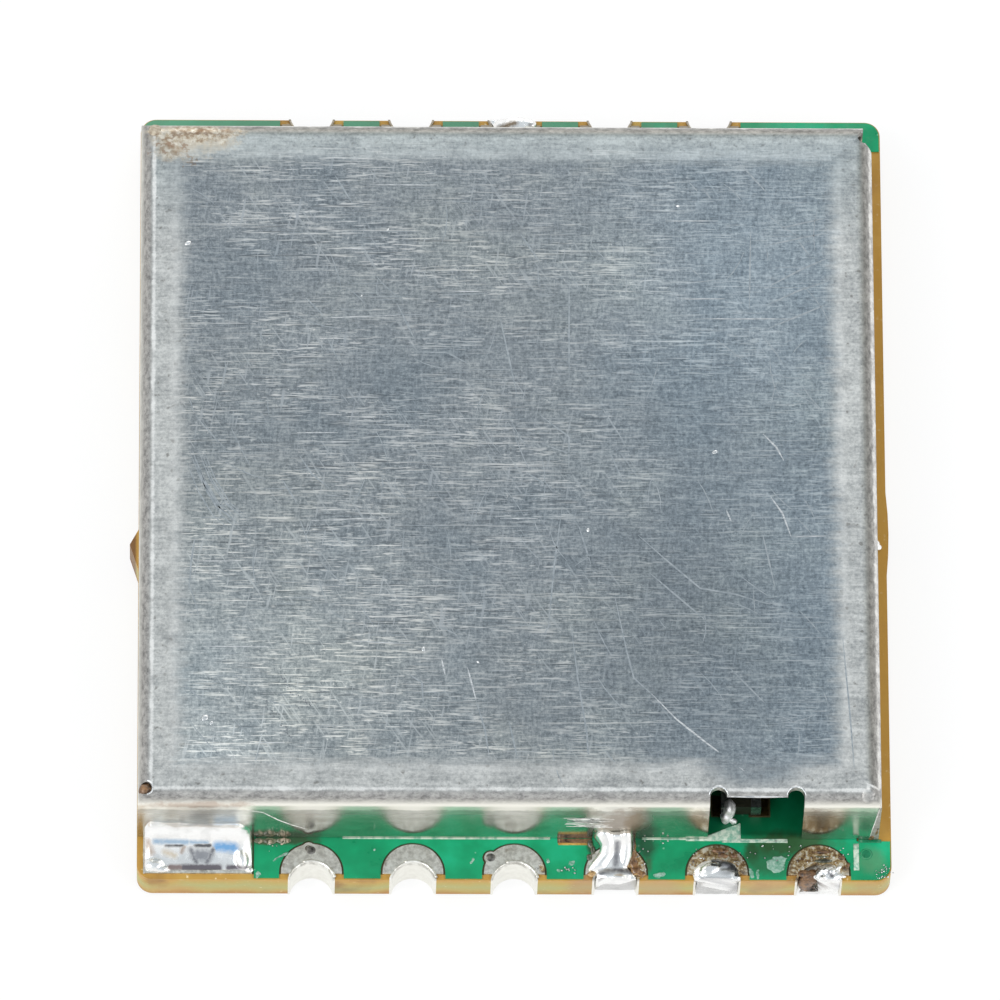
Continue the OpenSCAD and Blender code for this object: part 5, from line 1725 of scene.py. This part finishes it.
    def last_terminal(self) -> None:
        """Sculpt the broken joint on the last terminal."""
        skin = Skin("last_joint")
        picker = random.Random(SEED + 4)
        skin.ball((7.86, -10.34, 0.98), (0.34, 0.3, 0.14))
        for _ in range(14):
            x, y = picker.uniform(7.64, 8.14), picker.uniform(-10.46, -10.16)
            turn = tuple(picker.uniform(-60, 60) for _ in range(3))
            size = (picker.uniform(0.07, 0.16), picker.uniform(0.05, 0.09), picker.uniform(0.04, 0.1))
            skin.ball((x, y, picker.uniform(1.0, 1.1)), size, turn, detail=1)
        skin.ball((8.16, -10.38, 1.06), (0.16, 0.06, 0.04), (0, 10, -12), detail=2)
        skin.ball((7.54, -10.42, 1.02), (0.05, 0.06, 0.16), (10, -20, 0), detail=2)
        skin.rod((7.88, -10.62, 0.6), (0.28, 0.32), 0.9, 12)
        skin.rod((7.62, -10.62, 0.2), (0.5, 0.46), 0.14, 24)
        skin.fuse(self.fine_voxel, 1)
        skin.trim((0, self.edge, 0), (0, -1, 0))
        skin.ripple(0.02, 0.12, 5.2)
        # The grey marks are painted shade.
        stain(
            skin.piece(SOLDER, "solder", ("last_terminal_solder",), smooth=False),
            (
                Mark(((7.7, -10.12, 1.1), (7.9, -10.1, 1.1)), 0.09, "#A59884", 0.9),
                Mark(((7.86, -10.3, 1.12), (7.95, -10.42, 1.1)), 0.05, "#77777B", 1.0),
                Mark(((7.66, -10.5, 0.7), (8.1, -10.5, 0.6)), 0.16, "#CFD0D2", 0.9),
                Mark(((7.64, -10.48, 0.9), (7.62, -10.45, 0.4)), 0.06, "#54433A", 1.0),
                Mark(((7.15, -10.5, 0.24), (7.6, -10.5, 0.2)), 0.08, "#DCDCDC", 0.9),
            ),
        )

    def back_terminal(self) -> None:
        """Sculpt the small joint on the middle back terminal."""
        skin = Skin("back_joint")
        skin.ball((0.1, 10.3, 1.0), (0.56, 0.3, 0.2))
        skin.ball((0.42, 10.34, 1.06), (0.24, 0.18, 0.14))
        self.fill(skin, 0.0, Edge.BACK, 0.15, 1.04)
        skin.fuse(self.voxel, 3)
        skin.trim((0, -self.edge, 0), (0, 1, 0))
        skin.ripple(0.03, 0.24, 7.3)
        stain(
            skin.piece(SOLDER, "solder", ("back_terminal_solder",)),
            (
                Mark(((-0.3, 10.2, 1.15), (0.1, 10.35, 1.2)), 0.1, "#7A6A55", 0.9),
                Mark(((0.5, 10.3, 1.15), (0.62, 10.4, 1.05)), 0.06, "#5A4632", 0.9),
            ),
        )

    def can_tack(self) -> None:
        """Sculpt the tack between the can's right wall and the bare strip."""
        skin = Skin("can_tack")
        skin.ball((9.14, -1.32, 0.99), (0.17, 0.16, 0.16))
        skin.ball((9.24, -1.38, 0.98), (0.1, 0.09, 0.08))
        skin.fuse(0.016, 3)
        skin.trim((0, 0, 0.96), (0, 0, -1))
        skin.ripple(0.01, 0.1)
        # The grey mark is painted shade.
        stain(
            skin.piece(SOLDER, "solder", ("can_solder_tack",)),
            (Mark(((9.1, -1.2, 1.05), (9.2, -1.18, 1.0)), 0.06, "#8A8A8C", 0.9),),
        )


@dataclass
class Residue:
    """Flux, dirt and solder balls that were left on the board."""

    mask: float = BOARD_TOP
    land: float = LAND_TOP
    voxel: float = 0.018
    front: float = -10.49
    foot: float = -9.385

    def build(self) -> None:
        """Lay the flux, the solder in the window and the specks."""
        self.flux()
        self.window_solder()
        self.solder_balls()

    def lumps(self, name: str, finish: Finish, spots: Sequence[Spot], shift: float) -> None:
        """Lay one patch of flux.

        Args:
            name: The piece's name.
            finish: The flux's finish.
            spots: Place across and along, two half-widths and a height for each lump.
            shift: Picks another part of the noise.
        """
        skin = Skin(name)
        for x, y, wide, deep, tall in spots:
            skin.ball((x, y, self.mask + 0.01), (wide, deep, tall))
        skin.fuse(self.voxel, 8)
        skin.trim((0, 0, self.mask), (0, 0, -1))
        skin.trim((0, self.front, 0), (0, -1, 0))
        skin.trim((0, self.foot, 0), (0, 1, 0))
        skin.ripple(0.016, 0.1, shift)
        skin.piece(finish, "solder")

    def flux(self) -> None:
        """Lay flux beside the hand-soldered terminals."""
        self.lumps(
            "flux_first_terminal",
            OLIVE_FLUX,
            (
                (-6.4, -9.47, 0.14, 0.08, 0.025),
                (-6.12, -9.48, 0.17, 0.1, 0.03),
                (-5.78, -9.47, 0.2, 0.09, 0.03),
            ),
            0.0,
        )
        self.lumps(
            "flux_bridge_left",
            OLIVE_FLUX,
            ((1.9, -9.52, 0.08, 0.12, 0.05), (1.97, -9.7, 0.07, 0.13, 0.05), (1.88, -9.9, 0.08, 0.1, 0.04)),
            2.0,
        )
        self.lumps(
            "flux_bridge",
            BURNT_FLUX,
            (
                (2.95, -9.46, 0.1, 0.14, 0.2),
                (2.96, -9.62, 0.09, 0.16, 0.12),
                (2.98, -9.84, 0.1, 0.16, 0.08),
                (3.0, -10.04, 0.12, 0.16, 0.07),
                (3.04, -10.24, 0.13, 0.14, 0.06),
                (3.18, -10.34, 0.12, 0.08, 0.04),
                (1.92, -10.36, 0.12, 0.07, 0.05),
            ),
            3.0,
        )
        self.lumps(
            "flux_antenna",
            CHARRED_FLUX,
            (
                (5.16, -9.7, 0.22, 0.08, 0.05),
                (5.24, -9.84, 0.16, 0.06, 0.045),
                (5.5, -9.84, 0.1, 0.07, 0.04),
            ),
            5.0,
        )
        self.lumps(
            "flux_last_terminal",
            CHARRED_FLUX,
            (
                (7.26, -10.32, 0.18, 0.11, 0.05),
                (7.72, -9.74, 0.24, 0.05, 0.05),
                (8.2, -9.88, 0.1, 0.07, 0.045),
                (8.36, -10.1, 0.05, 0.1, 0.045),
            ),
            7.0,
        )
        film = ((7.74, -9.98, 0.26, 0.06, 0.07), (7.7, -9.86, 0.2, 0.03, 0.05))
        self.lumps("flux_last_film", OLIVE_FLUX, film, 9.0)
        bubble = Skin("flux_bubbles")
        foam = ((-6.36, -9.5, 0.05), (-6.12, -9.5, 0.06), (-5.8, -9.49, 0.075), (-5.68, -9.47, 0.04))
        for x, y, size in foam:
            bubble.ball((x, y, self.mask + 0.02), (size * 1.3, size * 0.8, 0.03), (0, 0, x * 50))
        bubble.ripple(0.03, 0.06)
        bubble.piece(BEIGE_FLUX, "solder")
        bore = Skin("flux_last_bore")
        bore.ball((7.3, -10.4, 0.62), (0.2, 0.14, 0.38))
        bore.ball((7.46, -10.32, 0.8), (0.18, 0.18, 0.22))
        bore.fuse(self.voxel, 2)
        bore.trim((0, -10.48, 0), (0, -1, 0))
        bore.ripple(0.03, 0.12)
        bore.piece(CHARRED_FLUX, "solder")

    def window_solder(self) -> None:
        """Lay the solder on the part that the window shows."""
        skin = Skin("window_solder")
        skin.ball((5.38, -8.7, 1.34), (0.16, 0.24, 0.3))
        skin.ball((5.3, -8.88, 1.18), (0.14, 0.15, 0.2))
        skin.ball((5.5, -8.96, 1.1), (0.09, 0.08, 0.12))
        skin.fuse(self.voxel, 6)
        skin.trim((0, 0, self.mask), (0, 0, -1))
        skin.ripple(0.04, 0.16)
        skin.piece(FROSTED, "solder")

    def solder_balls(self) -> None:
        """Scatter tiny solder balls and dust near the hand-soldered terminals."""
        skin = Skin("solder_balls")
        picker = random.Random(SEED + 9)
        groups = (
            ((-6.2, -9.6), (0.25, 0.06), 6),
            ((9.22, -10.3), (0.1, 0.08), 18),
            ((9.3, -10.1), (0.08, 0.1), 8),
            ((7.6, -9.9), (0.5, 0.15), 30),
            ((4.6, -10.0), (0.12, 0.14), 16),
            ((5.6, -10.0), (0.1, 0.16), 12),
            ((3.1, -10.0), (0.15, 0.3), 26),
            ((3.6, -9.3), (0.3, 0.2), 5),
            ((1.4, -10.25), (0.25, 0.08), 10),
            ((0.62, -10.25), (0.05, 0.06), 7),
            ((6.4, -9.7), (0.4, 0.2), 12),
            ((-8.9, -10.2), (0.2, 0.1), 10),
        )
        for (x, y), (wide, deep), count in groups:
            for _ in range(count):
                size = picker.uniform(0.01, 0.03)
                across = picker.gauss(x, wide)
                along = min(-9.45, max(-10.44, picker.gauss(y, deep)))
                skin.ball((across, along, self.land + size * 0.4), (size, size, size * 0.8), detail=1)
        skin.piece(ENDS, "solder")


@dataclass
class InnerParts:
    """The chips and small parts under the can."""

    def build(self) -> None:
        """Dress the parts by what they are made of; the capacitors' near-black is painted shade."""
        dress(CHIP_RESIN, "transmitter_chip", "amplifier_chip", "regulator_body")
        dress(LEADS, "transmitter_leads", "amplifier_leads", "regulator_leads")
        dress(PALE_CERAMIC, "crystal_base", "filter_body")
        dress(COVER, "crystal_lid")
        # The capacitors are painted near-black: painted shade under the can.
        dress(SHADED_CAPACITOR_CERAMIC, "capacitor_bodies", "bulk_capacitor_bodies")
        dress(BLACK_GLAZE, "resistor_bodies")
        dress(BLUE_FERRITE, "inductor_bodies")
        ends = ("filter_ends", "capacitor_ends", "bulk_capacitor_ends", "resistor_ends", "inductor_ends")
        dress(ENDS, *ends)


@dataclass(frozen=True)
class Lamp:
    """A soft studio lamp, in metres and watts."""

    name: str
    azimuth: float
    elevation: float
    distance: float
    size: float
    power: float


@dataclass
class Studio:
    """Floor, soft light and the camera at the photograph's place."""

    azimuth: float = -2.9177
    elevation: float = 66.1551
    roll: float = 2.8858
    distance: float = 0.38219
    lens: float = 542.46
    shift: tuple[float, float] = (-0.0116, 0.01186)
    floor_size: float = 3.0
    floor_drop: float = 0.02
    lamps: tuple[Lamp, ...] = (
        Lamp("key", -58.0, 48.0, 0.6, 0.35, 1.5),
        Lamp("fill", 62.0, 40.0, 0.6, 0.35, 0.9),
        Lamp("back", 170.0, 35.0, 0.7, 0.4, 0.9),
    )

    def build(self) -> None:
        """Set up the whole studio."""
        bpy.context.scene.view_settings.view_transform = "Standard"
        self.floor()
        self.sky()
        for lamp in self.lamps:
            self.light(lamp)
        self.camera()

    def towards(self, azimuth: float, elevation: float) -> Vector:
        """Give the direction from the module to a place in the studio.

        Args:
            azimuth: Degrees round from the front.
            elevation: Degrees above the floor.

        Returns:
            The unit vector.
        """
        a, e = math.radians(azimuth), math.radians(elevation)
        return Vector((math.sin(a) * math.cos(e), -math.cos(a) * math.cos(e), math.sin(e)))

    def floor(self) -> None:
        """Lay the pale floor, which stays white away from the module and keeps its shadow."""
        shape = bmesh.new()
        bmesh.ops.create_circle(shape, cap_ends=True, segments=64, radius=self.floor_size)
        bmesh.ops.translate(shape, verts=shape.verts, vec=(0, 0, -self.floor_drop * MM))
        mesh = bpy.data.meshes.new("floor")
        shape.to_mesh(mesh)
        shape.free()
        floor = bpy.data.objects.new("floor", mesh)
        bpy.context.scene.collection.objects.link(floor)
        material = bpy.data.materials.new("white_floor")
        material.use_nodes = True
        tree = material.node_tree
        tree.nodes.clear()
        add = partial(add_node, tree)
        rays = add("LightPath").outputs
        seen = rays["Is Camera Ray"]
        for ray in ("Is Glossy Ray", "Is Transmission Ray"):
            seen = add("Math", {0: seen, 1: rays[ray]}, operation="MAXIMUM")
        share = add("MapRange", {"Value": seen, "To Max": 0.8})
        paper = add("BsdfDiffuse", {"Color": "#F6F6F6"})
        glow = add("Emission", {"Color": "#FFFFFF", "Strength": 1.0})
        mixed = add("MixShader", {0: share, 1: paper, 2: glow})
        add("OutputMaterial", {"Surface": mixed})
        mesh.materials.append(material)

    def sky(self) -> None:
        """Surround the studio with a tent: white at the sides, dimmer and bluer overhead."""
        world = bpy.data.worlds.new("tent")
        bpy.context.scene.world = world
        world.use_nodes = True
        tree = world.node_tree
        tree.nodes.clear()
        add = partial(add_node, tree)
        place = add("TexCoord")
        height = add("SeparateXYZ", {"Vector": place.outputs["Generated"]}).outputs["Z"]
        stops = ((0.0, "#FFFFFF"), (0.35, "#FFFFFF"), (0.72, "#E4E9ED"), (0.92, "#C9D1D8"), (1.0, "#D3D9DE"))
        colour = add("ValToRGB", {"Fac": height}, stops=stops)
        tent = add("Background", {"Color": colour, "Strength": 1.0})
        add("OutputWorld", {"Surface": tent})

    def light(self, lamp: Lamp) -> None:
        """Hang one lamp.

        Args:
            lamp: Where it hangs, its size and power.
        """
        data = bpy.data.lights.new(lamp.name, "AREA")
        data.energy = lamp.power
        data.size = lamp.size
        made = bpy.data.objects.new(lamp.name, data)
        back = self.towards(lamp.azimuth, lamp.elevation)
        made.location = back * lamp.distance
        made.rotation_euler = back.to_track_quat("Z", "Y").to_euler()
        bpy.context.scene.collection.objects.link(made)

    def camera(self) -> None:
        """Stand the camera where the photograph was taken."""
        back = self.towards(self.azimuth, self.elevation)
        right = UP.cross(back).normalized()
        up = back.cross(right)
        turn = math.radians(self.roll)
        across = right * math.cos(turn) + up * math.sin(turn)
        upward = up * math.cos(turn) - right * math.sin(turn)
        data = bpy.data.cameras.new("camera")
        data.sensor_width = 36.0
        data.lens = self.lens
        data.shift_x, data.shift_y = self.shift
        made = bpy.data.objects.new("camera", data)
        pose = Matrix((across, upward, back)).transposed().to_4x4()
        made.matrix_world = Matrix.Translation(back * self.distance) @ pose
        bpy.context.scene.collection.objects.link(made)
        bpy.context.scene.camera = made


def main() -> None:
    """Build the module's looks and the studio around it."""
    logging.basicConfig(level=logging.INFO, format="%(name)s: %(message)s")
    for part in (Studio(), Board(), ShieldCan(), SolderWork(), Residue(), InnerParts()):
        log.info("building %s", type(part).__name__)
        part.build()


if __name__ == "__main__":
    main()
